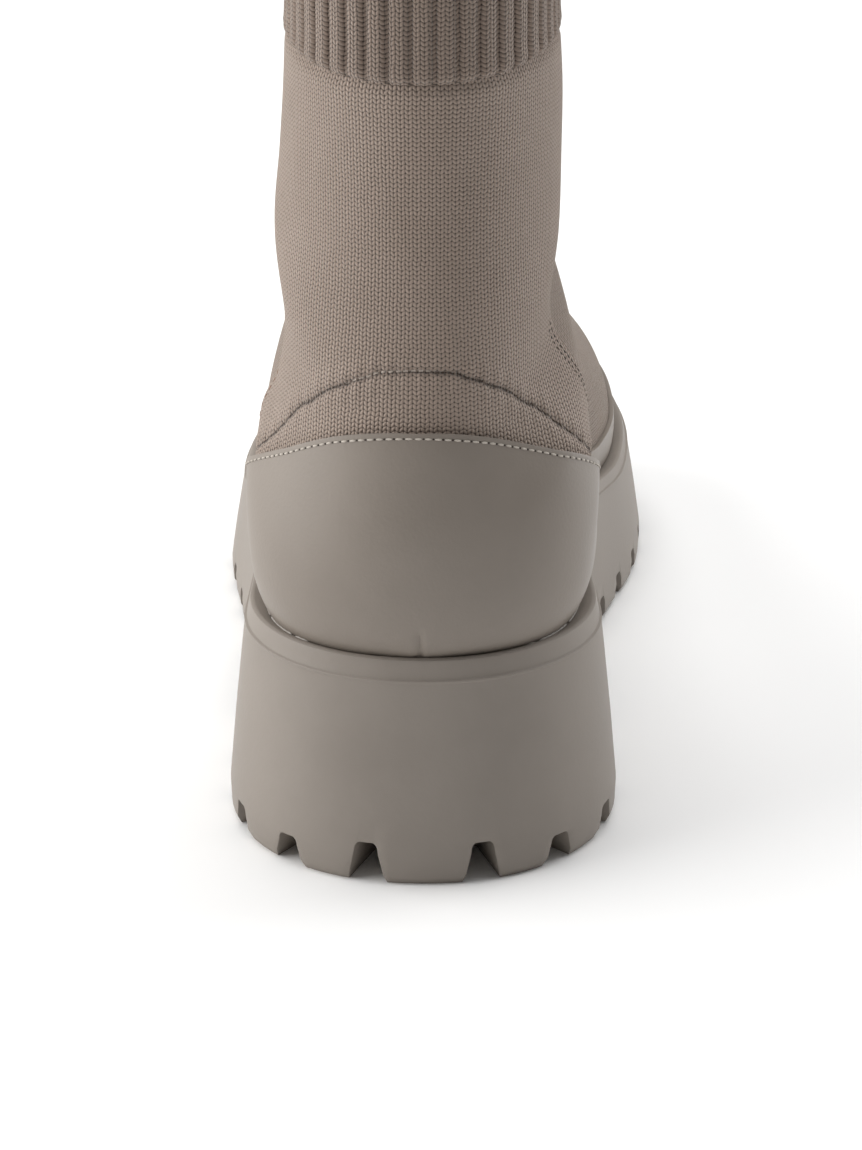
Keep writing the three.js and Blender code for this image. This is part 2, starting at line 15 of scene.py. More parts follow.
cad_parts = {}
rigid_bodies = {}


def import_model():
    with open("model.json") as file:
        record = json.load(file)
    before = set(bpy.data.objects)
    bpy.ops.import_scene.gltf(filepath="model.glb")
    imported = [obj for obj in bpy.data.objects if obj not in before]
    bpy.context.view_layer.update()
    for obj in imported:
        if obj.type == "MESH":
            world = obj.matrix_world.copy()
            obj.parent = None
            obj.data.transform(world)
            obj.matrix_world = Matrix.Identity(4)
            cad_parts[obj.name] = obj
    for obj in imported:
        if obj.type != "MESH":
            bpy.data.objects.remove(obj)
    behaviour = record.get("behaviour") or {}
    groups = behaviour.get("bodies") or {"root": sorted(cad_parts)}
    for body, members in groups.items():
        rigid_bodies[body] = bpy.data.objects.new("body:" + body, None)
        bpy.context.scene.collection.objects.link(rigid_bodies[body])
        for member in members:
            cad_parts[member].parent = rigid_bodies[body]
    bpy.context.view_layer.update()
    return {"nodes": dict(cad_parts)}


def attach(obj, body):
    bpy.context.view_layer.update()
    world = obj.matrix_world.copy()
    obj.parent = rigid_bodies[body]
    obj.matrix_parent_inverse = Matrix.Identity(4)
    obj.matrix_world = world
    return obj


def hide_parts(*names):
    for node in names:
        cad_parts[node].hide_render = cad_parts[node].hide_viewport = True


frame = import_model()
MM = 0.001
to_frame = np.array([1.15, -136.0, 0.0])  # from the last's own corner to the middle of the frame
print("frame nodes:", sorted(frame["nodes"]))

# %% [markdown]
# ## Camera, floor and light
# The camera comes first, because it decides how much detail each piece needs. It stands low behind the
# heel with a long lens. A wide pale floor reaches past the picture, so it needs no backdrop. One large
# soft light from the left gives the bright side of the heel, a weaker one from the right draws the thin
# light edge, and a high one keeps the floor white. The world adds a little light from all sides, and it is
# plain white where the camera looks past the floor.


# %% Camera
def add_camera():
    data = bpy.data.cameras.new("camera")
    data.sensor_width = 36
    data.lens = 85.15
    camera = bpy.data.objects.new("camera", data)
    camera.location = (0.01855, -0.5992, 0.2364)
    camera.rotation_euler = (math.radians(69.5), 0, math.radians(1.8))
    bpy.context.scene.collection.objects.link(camera)
    bpy.context.scene.camera = camera
    return camera


print("camera at", tuple(round(v, 3) for v in add_camera().location))


# %% Floor and lights
def deselect():
    if bpy.context.object and bpy.context.object.mode != "OBJECT":
        bpy.ops.object.mode_set(mode="OBJECT")
    bpy.ops.object.select_all(action="DESELECT")


def take(piece):
    deselect()
    piece.select_set(True)
    bpy.context.view_layer.objects.active = piece
    return piece


def primitive(add, **settings):
    """One of Blender's ready shapes, as the only selected object."""
    deselect()
    add(**settings)
    return bpy.context.object


def soft_light(name, place, size, watts, colour=(1, 1, 1)):
    light = bpy.data.lights.new(name, "AREA")
    light.shape = "RECTANGLE"
    light.size, light.size_y = size
    light.energy = watts
    light.color = colour
    lamp = bpy.data.objects.new(name, light)
    lamp.location = place
    lamp.rotation_euler = (Vector((0, 0, 0.08)) - Vector(place)).to_track_quat("-Z", "Y").to_euler()
    bpy.context.scene.collection.objects.link(lamp)
    return lamp


floor = primitive(bpy.ops.mesh.primitive_plane_add, size=12, location=(0, 0, 0))
floor.name = "floor"

soft_light("left_softbox", (-1.5, -0.1, 0.75), (1.8, 1.7), 33, (1.0, 0.99, 0.975))
soft_light("right_softbox", (1.35, 0.7, 0.6), (0.8, 1.3), 11.5)
soft_light("top_softbox", (0.0, 0.5, 2.3), (2.4, 2.4), 50)
world = bpy.data.worlds.new("studio")
world.use_nodes = True
backdrop = world.node_tree.nodes["Background"]
eye = world.node_tree.nodes.new("ShaderNodeLightPath")
level = world.node_tree.nodes.new("ShaderNodeMapRange")
backdrop.inputs["Color"].default_value = (1, 1, 1, 1)
level.inputs["To Min"].default_value, level.inputs["To Max"].default_value = 0.2, 1.0
world.node_tree.links.new(eye.outputs["Is Camera Ray"], level.inputs["Value"])
world.node_tree.links.new(level.outputs["Result"], backdrop.inputs["Strength"])
bpy.context.scene.world = world
bpy.context.scene.view_settings.view_transform = "Standard"

# %% [markdown]
# ## The last
# A shoe is built round a last, a solid form of the foot. Here it is a fan of sections: the first stand
# across the foot, and the later ones turn round the ankle until they lie flat at the collar. `place` counts
# the sections from the toe to the collar, and `angle` goes round each one. The tables repeat the sizes that
# the frame was made from, in millimetres, so each sheet lands exactly on its solid.

# %% Sizes of the sole and the last
sole_length, ball_width, heel_width = 272.0, 103.0, 78.0
heel_height, ball_height, toe_height = 44.0, 28.0, 37.0
toe_spring, toe_swing, heel_round, toe_round = 9.0, 7.0, 41.0, 76.0
wall_lean, ledge_width = 4.7, 2.3
instep_rise, ankle_rise = 61.0, 106.0
cuff_height, cuff_tilt = 60.0, 11.0
shaft_width, shaft_depth, shaft_back = 53.0, 70.0, 11.5
upper_inset, tip_inset, tuck, toe_drop = 9.4, 10.0, 7.0, 24.0
knit_wall, lap_step, counter_wall, foxing_wall, gap = 2.2, 0.7, 1.3, 1.1, 0.3

# Outline of the sole: place along it, width that the row follows, half widths to the inner and outer side
outline_rows = [
    (0.0, heel_width, 0.5, 0.5), (0.15, heel_width, 0.5, 0.5), (0.24, heel_width, 0.475, 0.505),
    (0.33, ball_width, 0.335, 0.395), (0.43, ball_width, 0.335, 0.415), (0.53, ball_width, 0.395, 0.46),
    (0.63, ball_width, 0.462, 0.505), (0.72, ball_width, 0.486, 0.505), (0.82, ball_width, 0.48, 0.475),
    (1.0, ball_width, 0.44, 0.43),
]
# Height of the seat: place along the sole, share of the way down from heel to ball
seat_rows = [(0.0, 0.0), (0.24, 0.02), (0.36, 0.24), (0.5, 0.71), (0.62, 0.97), (0.7, 1.0)]
# Foot sections: place along the sole, top, widest height, squareness low and high, lean of the crown
foot_rows = [
    (0.9, 0.47, 0.3, 2.8, 2.1, 0.02), (0.83, 0.53, 0.25, 2.9, 1.95, 0.03), (0.75, 0.63, 0.2, 3, 1.8, 0.045),
    (0.67, 0.745, 0.17, 3, 1.72, 0.05), (0.59, 0.87, 0.15, 3, 1.68, 0.05), (0.52, 1, 0.14, 3, 1.66, 0.04),
]
# Ankle sections: lower end (along, up), upper end (along, up), half widths, widest height, squareness, lean
ankle_rows = [
    (0.435, None, 1.67, 0.52, 0, 0, 0.14, 3, 1.66, 0.03),
    (0.335, None, 1.49, 0.585, 0, 0, 0.17, 3, 1.7, 0.02),
    (0.235, None, 1.36, 0.64, 0, 0, 0.21, 3, 1.76, 0.01),
    (0.14, None, 1.265, 0.69, 0.6, 0.6, 0.25, 2.9, 1.85, 0),
    (0.062, -0.055, 1.19, 0.735, 0.598, 0.598, 0.29, 2.5, 1.85, 0),
    (0.026, 0.04, 1.135, 0.785, 0.6, 0.59, 0.34, 2.15, 1.78, 0),
    (0.019, 0.185, 1.09, 0.83, 0.558, 0.51, 0.37, 2.05, 1.72, 0),
    (0.027, 0.355, 1.055, 0.88, 0.45, 0.482, 0.42, 2, 1.95, 0),
    (0.0405, 0.53, 1.03, 0.935, 0.474, 0.519, 0.46, 2, 2, 0),
    (0.0475, 0.7, 1.01, 0.99, 0.478, 0.5, 0.48, 2, 2, 0),
    (0.047, 0.86, 1.003, 1.045, 0.478, 0.483, 0.49, 2.05, 2.05, 0),
]
# Cuff sections: share of its height, back, front, half widths
cuff_rows = [
    (0, 0, 1, 0.466, 0.472), (0.12, -0.006, 0.985, 0.458, 0.464),
    (0.55, -0.03, 0.975, 0.46, 0.464), (1, -0.055, 0.975, 0.47, 0.476),
]
# Edge lines of the panels, seen from the side: along the sole and up from the seat
counter_rows = [
    (-0.1, 0.422), (0.0185, 0.422), (0.04, 0.395), (0.07, 0.35), (0.12, 0.29), (0.17, 0.235), (0.23, 0.165),
    (0.285, 0.1), (0.315, 0.065),
]
foxing_rows = [
    (0.317, 0.15), (0.4, 0.132), (0.51, 0.117), (0.6, 0.11), (0.7, 0.112), (0.85, 0.13), (0.93, 0.165),
    (1.02, 0.185),
]
lap_rows = [
    (0.176, -0.2), (0.169, 0.245), (0.162, 0.32), (0.151, 0.396), (0.138, 0.462), (0.132, 0.528),
    (0.138, 0.604), (0.154, 0.717), (0.167, 0.858), (0.173, 1.3),
]


# %% Smooth curves through the tables
def smooth(xs, ys, at):
    """Value at a place along rows, smooth through every row."""
    xs, ys = np.asarray(xs, float), np.asarray(ys, float)
    at = np.clip(np.asarray(at, float), xs[0], xs[-1])
    i = np.clip(np.searchsorted(xs, at, side="right") - 1, 0, len(xs) - 2)
    before, after = np.maximum(i - 1, 0), np.minimum(i + 2, len(xs) - 1)
    span = xs[i + 1] - xs[i]
    start = (ys[i + 1] - ys[before]) / (xs[i + 1] - xs[before]) * span
    end = (ys[after] - ys[i]) / (xs[after] - xs[i]) * span
    t = (at - xs[i]) / span
    ends = ys[i] * (2 * t**3 - 3 * t**2 + 1) + ys[i + 1] * (3 * t**2 - 2 * t**3)
    return ends + start * (t**3 - 2 * t**2 + t) + end * (t**3 - t**2)


def eased(share):
    return share**2 * (3 - 2 * share)


def column(rows, k):
    return [row[k] for row in rows]


def rounding(way_in, length, power):
    left = np.clip((length - np.asarray(way_in, float)) / length, 0, 1)
    return (1 - left**power) ** (1 / power)


def half_width(y, side, inset):
    k = 2 if side == "inner" else 3
    widths = [row[k] * row[1] for row in outline_rows]
    full = smooth(column(outline_rows, 0), widths, np.asarray(y, float) / sole_length) - inset
    back = rounding(y - inset, heel_round - inset, 2.1)
    return full * back * rounding(sole_length - inset - y, toe_round - inset, 2.25)


def middle(y):
    return toe_swing * np.maximum(0, (np.asarray(y, float) - (sole_length - toe_round)) / toe_round) ** 1.6


def seat(y):
    at = np.asarray(y, float) / sole_length
    back = heel_height - smooth(column(seat_rows, 0), column(seat_rows, 1), at) * (heel_height - ball_height)
    front = ball_height + (toe_height - ball_height) * np.maximum(0, (at - 0.7) / 0.3) ** 1.7
    return np.where(at <= 0.7, back, front)


def underside(y):
    start = sole_length * 0.74
    return toe_spring * np.maximum(0, (np.asarray(y, float) - start) / (sole_length - start)) ** 1.8


# %% Sections of the last
def last_sections():
    rows = []
    tip = sole_length - tip_inset
    first = foot_rows[0]
    rounded = [((tip - share * toe_drop) / sole_length,) + first[1:] for share in (0.03, 0.16, 0.42)]
    for at, top, belly, low, high, lean in rounded + foot_rows:
        y = at * sole_length
        drop = float(rounding(tip - y, toe_drop, 2.3))
        base, crown = float(seat(y)) - tuck * drop, float(seat(y)) + top * instep_rise * drop
        inner, outer = (float(half_width(y, side, upper_inset)) for side in ("inner", "outer"))
        rows.append([y, base, y, crown, inner, outer, belly, low, high, lean * ball_width, float(middle(y))])
    for back_at, back_up, front_at, front_up, inner, outer, belly, low, high, lean in ankle_rows:
        y = back_at * sole_length
        base = float(seat(y)) - tuck if back_up is None else heel_height + back_up * ankle_rise
        inner = inner * shaft_width or float(half_width(y, "inner", upper_inset))
        outer = outer * shaft_width or float(half_width(y, "outer", upper_inset))
        front = shaft_back + front_at * shaft_depth
        crown = heel_height + front_up * ankle_rise
        rows.append([y, base, front, crown, inner, outer, belly, low, high, lean * ball_width, 0.0])
    for up, back, front, inner, outer in cuff_rows:
        base = heel_height + ankle_rise + up * cuff_height
        crown = heel_height + ankle_rise + cuff_tilt + up * (cuff_height - 0.3 * cuff_tilt)
        back, front = shaft_back + back * shaft_depth, shaft_back + front * shaft_depth
        inner, outer = inner * shaft_width, outer * shaft_width
        rows.append([back, base, front, crown, inner, outer, 0.5, 2.05, 2.05, 0.0, 0.0])
    return np.array(rows)


sections = last_sections()
collar = len(sections) - 1
cuff_start = len(sections) - len(cuff_rows)
print("last:", len(sections), "sections, cuff starts at", cuff_start)


def on_form(place, angle):
    """Point of the bare last. Angle 0 is the inner side, a quarter turn the top or front."""
    place, angle = np.broadcast_arrays(np.asarray(place, float), np.asarray(angle, float))
    values = [smooth(np.arange(len(sections)), sections[:, k], place) for k in range(11)]
    back_y, back_z, front_y, front_z, inner, outer, belly, low, high, lean, mid = values
    c, s = np.cos(angle), np.sin(angle)
    power = 2 / np.where(s < 0, low, high)
    up = np.sign(s) * np.abs(s) ** power
    share = belly + up * np.where(up < 0, belly, 1 - belly)
    side = np.sign(c) * np.abs(c) ** power * np.where(c < 0, outer, inner)
    x = mid + lean * share + side
    return np.stack([x, back_y + (front_y - back_y) * share, back_z + (front_z - back_z) * share], -1)


def outward(place, angle):
    step = 0.02
    place, angle = np.broadcast_arrays(np.asarray(place, float), np.asarray(angle, float))
    way = on_form(np.minimum(place + step, collar), angle) - on_form(np.maximum(place - step, 0), angle)
    across = on_form(place, angle + step) - on_form(place, angle - step)
    normal = np.cross(across, way)
    return normal / (np.linalg.norm(normal, axis=-1, keepdims=True) + 1e-12)


def on_last(place, angle, stand):
    """Point that stands off the last by stand millimetres."""
    stand = np.asarray(stand, float)
    return on_form(place, angle) + outward(place, angle) * stand[..., None]


# %% [markdown]
# ## Laying a flat cloth over the last
# A panel starts as Blender's grid primitive, a flat cloth of square cells. Each row of cells takes one
# `place` of the last. Its two ends are where the row meets the panel's edge lines, which are found by
# walking round the row in small steps. Between the ends the points are shared out by length, so the cells
# stay even. A panel that runs round the heel is laid as two halves that are joined at the back.


# %% Helpers for laying cloth
def flat_cloth(name, rows, columns):
    cloth = primitive(bpy.ops.mesh.primitive_grid_add, x_subdivisions=columns - 1,
                      y_subdivisions=rows - 1, size=2)
    cloth.name = name
    return cloth


def lay(cloth, points, maps):
    """Moves the cloth's points, row by row, to points in millimetres, and writes its pattern maps."""
    rows, columns = points.shape[:2]
    mesh = cloth.data
    flat = np.empty(len(mesh.vertices) * 3, np.float32)
    mesh.vertices.foreach_get("co", flat)
    flat = flat.reshape(-1, 3)
    c = np.rint((flat[:, 0] + 1) / 2 * (columns - 1)).astype(int)
    r = np.rint((flat[:, 1] + 1) / 2 * (rows - 1)).astype(int)
    mesh.vertices.foreach_set("co", ((points[r, c] + to_frame) * MM).astype(np.float32).ravel())
    corner = np.empty(len(mesh.loops), np.int32)
    mesh.loops.foreach_get("vertex_index", corner)
    for name, values in maps.items():
        layer = mesh.uv_layers.get(name) or mesh.uv_layers.new(name=name)
        layer.data.foreach_set("uv", values[r, c][corner].astype(np.float32).ravel())
    mesh.update()
    return cloth


def join(pieces, name):
    deselect()
    for piece in pieces:
        piece.select_set(True)
    bpy.context.view_layer.objects.active = pieces[0]
    if len(pieces) > 1:
        bpy.ops.object.join()
    joined = bpy.context.object
    joined.name = name
    return joined


def edit_all(piece, tool, **settings):
    """Runs one edit-mode tool on the whole piece."""
    take(piece)
    bpy.ops.object.mode_set(mode="EDIT")
    bpy.ops.mesh.select_all(action="SELECT")
    tool(**settings)
    bpy.ops.object.mode_set(mode="OBJECT")
    return piece


def merge_doubles(piece, distance=0.00001):
    return edit_all(piece, bpy.ops.mesh.remove_doubles, threshold=distance)


def faces_outward(piece):
    return edit_all(piece, bpy.ops.mesh.normals_make_consistent, inside=False)


def finish_with(piece, kind, **settings):
    """Adds a modifier, sets it and applies it."""
    take(piece)
    modifier = piece.modifiers.new(kind.lower(), kind)
    for key, value in settings.items():
        setattr(modifier, key, value)
    bpy.ops.object.modifier_apply(modifier=modifier.name)
    return piece


def cut_edges(piece, width, degrees):
    """A narrow bevel along every edge that turns more than some degrees."""
    return finish_with(piece, "BEVEL", width=width * MM, segments=2, limit_method="ANGLE",
                       angle_limit=math.radians(degrees), use_clamp_overlap=True)


def smooth_faces(piece, degrees):
    take(piece)
    bpy.ops.object.shade_smooth_by_angle(angle=math.radians(degrees))
    return piece


def faces_of(piece):
    piece.data.calc_loop_triangles()
    return len(piece.data.loop_triangles)


# %% Rows of a panel
def walk(side):
    t = np.linspace(-math.pi / 2, math.pi / 2, 361)
    return t if side == "inner" else math.pi - t


def row_angles(side, places, columns, inside, stand, last_run=False):
    """For each place, the angles that share out the run of the row that lies inside the panel."""
    angle = walk(side)
    points = on_last(places[:, None], angle[None, :], stand)
    depth = inside(points)
    kept, rows = [], []
    for k in range(len(places)):
        d = depth[k]
        good = d > 0
        if good.sum() < 2:
            continue
        if last_run:
            if not good[-1]:
                continue
            out = np.flatnonzero(~good)
            first, last = (out[-1] + 1 if len(out) else 0), len(d) - 1
        else:
            first = int(np.argmax(good))
            out = np.flatnonzero(~good[first:])
            last = first + out[0] - 1 if len(out) else len(d) - 1
        lo = first if first == 0 else first - 1 + (-d[first - 1]) / (d[first] - d[first - 1])
        hi = last if last == len(d) - 1 else last + d[last] / (d[last] - d[last + 1])
        run = np.concatenate([[0], np.cumsum(np.linalg.norm(np.diff(points[k], axis=0), axis=1))])
        ends = np.interp([lo, hi], np.arange(len(d)), run)
        shares = np.linspace(ends[0], ends[1], columns)
        rows.append(np.interp(shares, run, angle))
        kept.append(places[k])
    return np.array(kept), np.array(rows)


def height_line(rows, base, size):
    ys = [row[0] * sole_length for row in rows]
    if base == "heel":
        zs = [heel_height + row[1] * size for row in rows]
    else:
        zs = [float(seat(min(max(y, 0), sole_length))) + row[1] * size for y, row in zip(ys, rows)]
    return lambda y: np.interp(y, ys, zs)


counter_top = height_line(counter_rows, "heel", ankle_rise)
foxing_top = height_line(foxing_rows, "seat", instep_rise)
lap_heights = [heel_height + row[1] * ankle_rise for row in lap_rows]
lap_ways = [row[0] * sole_length for row in lap_rows]


def lap_line(z):
    return smooth(lap_heights, lap_ways, z)


def above_ledge(points, lift=gap):
    y = np.clip(points[..., 1], 0, sole_length)
    return points[..., 2] - seat(y) - lift


# %% [markdown]
# ## Knit patterns follow the tube
# A knitted tube keeps its number of wales, the upright ribs of loops, all the way up. So the knit's map
# counts wales by how far round the tube a point lies on a steady oval, and counts courses by height. A
# wale of two slanting legs is about 1.4 mm wide and a course 0.8 mm high. Such small loops are left to the
# material.

# %% Knit map
wale, course = 1.42, 0.83
tube_middle, tube_half = (0.0, 47.0), (26.3, 35.5)


def oval_run():
    turn = np.linspace(0, math.pi, 721)
    x, y = tube_half[0] * np.sin(turn), -tube_half[1] * np.cos(turn)
    run = np.concatenate([[0], np.cumsum(np.hypot(np.diff(x), np.diff(y)))])
    return np.arctan2(x, -y), run


oval_bearing, oval_length = oval_run()


def bearing(points):
    """Angle round the tube from the back centre, towards the inner side."""
    return np.arctan2(points[..., 0] - tube_middle[0], tube_middle[1] - points[..., 1])


def round_run(points):
    phi = bearing(points)
    return np.sign(phi) * np.interp(np.abs(phi), oval_bearing, oval_length)


def knit_map(points):
    return np.stack([round_run(points) / wale, points[..., 2] / course], -1)


# %% [markdown]
# ## The back panel
# The back of the boot is one knitted panel from the counter to the cuff. A curved seam crosses it low on
# the heel, where the panel was pulled in by the thread, so it lies in a soft trough with slightly puffed
# sides. The trough is real shape and is pressed into the cloth as it is laid. The thread and its needle
# holes are small, so a second map with the run along the seam and the distance from it carries them.

# %% Curved seam of the back panel
arc_bearings = np.radians([-95, -84, -74, -63, -50, -41, -35, -31, -26, -22, -18, -15, -11, -7, 0,
                           7, 11, 15, 18, 22, 26, 31, 35, 41, 49, 63, 74, 84, 95])
arc_heights = [66, 71, 74.5, 78.3, 84, 88.5, 90.4, 92.2, 94, 95, 96.3, 96.9, 98, 98.3, 98.6,
               98.3, 98, 96.9, 96.3, 95, 94, 92.2, 90.4, 88.5, 84.5, 78.3, 74.5, 71, 66]

trough_depth, trough_width, puff_height, puff_away, puff_width = 0.34, 0.55, 0.16, 1.9, 1.2
pucker_height, pucker_reach, pucker_pitch, cuff_dip = 0.1, 3.0, 2.9, 0.75


def seam_distance(points):
    """How far a point lies above the curved seam, measured square to it."""
    phi = bearing(points)
    level = smooth(arc_bearings, arc_heights, phi)
    reach = np.hypot(points[..., 0], points[..., 1] - tube_middle[1])
    step = 0.02
    rise = smooth(arc_bearings, arc_heights, phi + step) - smooth(arc_bearings, arc_heights, phi - step)
    slope = rise / (2 * step)
    return (points[..., 2] - level) / np.sqrt(1 + (slope / np.maximum(reach, 10)) ** 2)


def back_relief(points):
    """Trough and puffed sides of the curved seam, its puckers, and the dip where the cuff is sewn on."""
    d = seam_distance(points)
    trough = -trough_depth * np.exp(-((d / trough_width) ** 2))
    puff = puff_height * np.exp(-(((np.abs(d) - puff_away) / puff_width) ** 2))
    wave = np.sin(round_run(points) * 2 * math.pi / pucker_pitch)
    pucker = pucker_height * np.exp(-((d / pucker_reach) ** 2)) * wave
    cuff_line = heel_height + ankle_rise + cuff_tilt * (points[..., 1] - shaft_back) / shaft_depth
    dip = -cuff_dip * np.exp(-((points[..., 2] - cuff_line) ** 2))
    return trough + puff + pucker + dip * (above_ledge(points, 0) > 0)


def seam_map(points):
    return np.stack([round_run(points) / 10, seam_distance(points) / 10], -1)


def half_panel(name, side, places, columns, inside, stand, maps, relief=None, last_run=False,
               closed_toe=False):
    """One side of a panel. A closed toe gets a few more rows that draw it together at the tip."""
    kept, angles = row_angles(side, places, columns, inside, stand, last_run)
    if side == "outer":
        angles = angles[:, ::-1]
    plain = on_last(kept[:, None], angles, stand)
    points = plain if relief is None else on_last(kept[:, None], angles, stand + relief(plain))
    if closed_toe:
        ends = on_last(np.array([kept[0]] * 2), np.array([-math.pi / 2, math.pi / 2]), stand)
        heart = np.array([ends[:, 0].mean(), points[0, :, 1].mean() + 0.3, ends[:, 2].mean()])
        shares = np.array([0.0, 0.45, 0.8])[:, None, None]
        cap = heart + (points[:1] - heart) * shares
        points, plain = np.concatenate([cap, points]), np.concatenate([cap, plain])
    cloth = flat_cloth(name, len(points), columns)
    lay(cloth, points, {key: make(plain) for key, make in maps.items()})
    return cloth


def panel(name, places, columns, inside, stand, wall, **options):
    halves = []
    for side in ("inner", "outer"):
        halves.append(half_panel(name + "_" + side, side, places, columns, inside, stand, **options))
    whole = merge_doubles(join(halves, name))
    finish_with(whole, "SOLIDIFY", thickness=wall * MM, offset=-1, use_even_offset=False)
    return whole


# %% Back panel
def in_back(points):
    return np.minimum(above_ledge(points), lap_line(points[..., 2]) - points[..., 1])


back_places = np.concatenate([
    np.linspace(11.3, 14.2, 34, endpoint=False), np.linspace(14.2, 17.1, 118, endpoint=False),
    np.linspace(17.1, cuff_start + 0.01, 44)])
back_panel = panel("back_panel", back_places, 84, in_back, lap_step, knit_wall,
                   relief=back_relief, maps={"UVMap": knit_map, "seam": seam_map})
smooth_faces(back_panel, 60)
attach(back_panel, "root")
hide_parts("upper")
print("back panel:", faces_of(back_panel), "triangles")

# %% [markdown]
# ## The front panel
# The front of the boot, over the toes and instep, is a second knitted panel. Its back edge runs under the
# back panel, which stands a step higher over it. It is laid in the same way, but each row is measured from
# the ridge of the foot, and its knit runs along the foot instead of up the leg.


# %% Front panel
def in_front(points):
    return np.minimum(above_ledge(points), points[..., 1] - lap_line(points[..., 2]) + 2.0)


def front_map(points):
    """Wales across the foot and courses along it, turning up the shin with the ridge."""
    steps = np.linalg.norm(np.diff(points[:, points.shape[1] // 2], axis=0), axis=1)
    ridge = np.cumsum(np.concatenate([[0], steps]))
    steps = np.linalg.norm(np.diff(points, axis=1), axis=2)
    run = np.concatenate([np.zeros((len(points), 1)), np.cumsum(steps, axis=1)], 1)
    if points[0, 0, 0] > points[0, -1, 0]:
        run = run - run[:, -1:]
    return np.stack([run / wale, np.repeat(ridge[:, None], points.shape[1], 1) / course], -1)


front_places = np.concatenate([
    np.linspace(0.0, 2.0, 22, endpoint=False), np.linspace(2.0, 9.0, 80, endpoint=False),
    np.linspace(9.0, cuff_start + 0.01, 90)])
front_panel = panel("front_panel", front_places, 62, in_front, 0.0, knit_wall,
                    maps={"UVMap": front_map}, last_run=True, closed_toe=True)
smooth_faces(front_panel, 60)
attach(front_panel, "root")
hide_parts("upper")
print("front panel:", faces_of(front_panel), "triangles")

# %% [markdown]
# ## The ribbed cuff
# The cuff is a tube of 46 thick ribs. A rib with the deep groove beside it is three wales wide, so the
# ribs are modelled and the wales are left to the material. The tube is laid as one closed strip: up the
# outside, over the turned edge at the top, and down the inside. Each rib ends low in a rounded bulge.

# %% Cuff
ribs, rib_height, cuff_wall, per_rib, rib_wales = 46, 1.1, 1.5, 10, 3
# Shares of half a rib: its flat face, the flank down to the groove, and how much the face falls
rib_face, rib_flank, rib_fall = 0.58, 0.36, 0.14
# Height of the rounded lower end and how deep it is drawn in, length of the turn at the top, its rise
foot_height, foot_depth, turn_length, turn_rise = 2.0, 0.5, 0.07, 0.6
rib_start = 1.0 - 0.5 * 4.1  # the first rib's place beside the back centre, with ribs 4.1 mm wide
cuff_rise = np.concatenate([np.linspace(0, 0.09, 12, endpoint=False), np.linspace(0.09, 3, 40)])


def even_round(place, count):
    """Angles that go once round the cuff in equal steps, from the back centre."""
    dense = np.linspace(-math.pi / 2, 1.5 * math.pi, 1441)
    ring = on_form(np.full(dense.shape, place), dense)
    run = np.concatenate([[0], np.cumsum(np.linalg.norm(np.diff(ring, axis=0), axis=1))])
    at = (np.arange(count + 1) / count * run[-1] + rib_start) % run[-1]
    at[-1] = at[0]
    return np.interp(at, run, dense)


def cuff_cloth():
    count = ribs * per_rib
    share = (np.arange(count + 1) / per_rib) % 1
    from_crown = np.abs(share - 0.5) * 2
    face = 1 - eased(np.clip((from_crown - rib_face) / rib_flank, 0, 1))
    profile = face * (1 - rib_fall * from_crown**2)
    rows, counts = [], []
    for rise in cuff_rise:
        place = cuff_start + rise
        angles = even_round(place, count)
        way_up = float(on_form(place, -math.pi / 2)[2] - on_form(cuff_start, -math.pi / 2)[2])
        bulge = math.sqrt(1 - (1 - min(way_up / foot_height, 1)) ** 2)
        top = min(max((3 - rise) / turn_length, 0), 1)
        stand = rib_height * profile * bulge * math.sqrt(1 - (1 - top) ** 2) - foot_depth * (1 - bulge)
        rows.append(on_last(np.full(count + 1, place), angles, stand))
        counts.append(way_up)
    for turn in (0.35, 0.7, 1.0):
        place = np.full(count + 1, float(collar))
        stand = np.full(count + 1, cuff_wall / 2 * (math.cos(turn * math.pi) - 1))
        ring = on_last(place, even_round(collar, count), stand)
        ring[:, 2] += turn_rise * math.sin(turn * math.pi)
        rows.append(ring)
        counts.append(counts[-1] + 0.8)
    for rise in np.linspace(2.96, 0.0, 14):
        place = np.full(count + 1, cuff_start + rise)
        rows.append(on_last(place, even_round(place[0], count), np.full(count + 1, -cuff_wall)))
        counts.append(counts[-1] + 4.0)
    rows.append(rows[0])
    counts.append(counts[-1] + 1.5)
    points = np.array(rows)
    across = np.arange(count + 1) / per_rib * rib_wales + 0.25
    maps = np.stack(np.broadcast_arrays(across[None, :], np.array(counts)[:, None] / course), -1)
    cloth = flat_cloth("ribbed_cuff", len(rows), count + 1)
    return merge_doubles(lay(cloth, points, {"UVMap": maps}))


cuff_piece = smooth_faces(cuff_cloth(), 70)
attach(cuff_piece, "root")
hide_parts("cuff")
print("cuff:", ribs, "ribs,", faces_of(cuff_piece), "triangles")

# %% [markdown]
# ## Counter and foxing
# The counter is a stiff shell of coated microfibre round the heel. It is cut to a curved top edge, and at
# its lower middle it is darted: a short slit lets the flat sheet bend round the heel. The foxing is the
# same sheet in a low band round the rest of the foot. Both get the thickness of the real sheet and a small
# bevel along the cut edges, because a cut edge catches a thin line of light.


# %% Counter
def in_counter(points):
    return np.minimum(above_ledge(points), counter_top(points[..., 1]) - points[..., 2])


# Slit and bulge at the lower middle: place across, half width, top, fade and depth or height
dart_across, dart_half, dart_top, dart_fade, dart_depth = 0.5, 0.45, 51.0, 1.5, 0.55
bulge_across, bulge_half, bulge_top, bulge_fade, bulge_height = 1.0, 5.0, 58.0, 12.0, 0.35


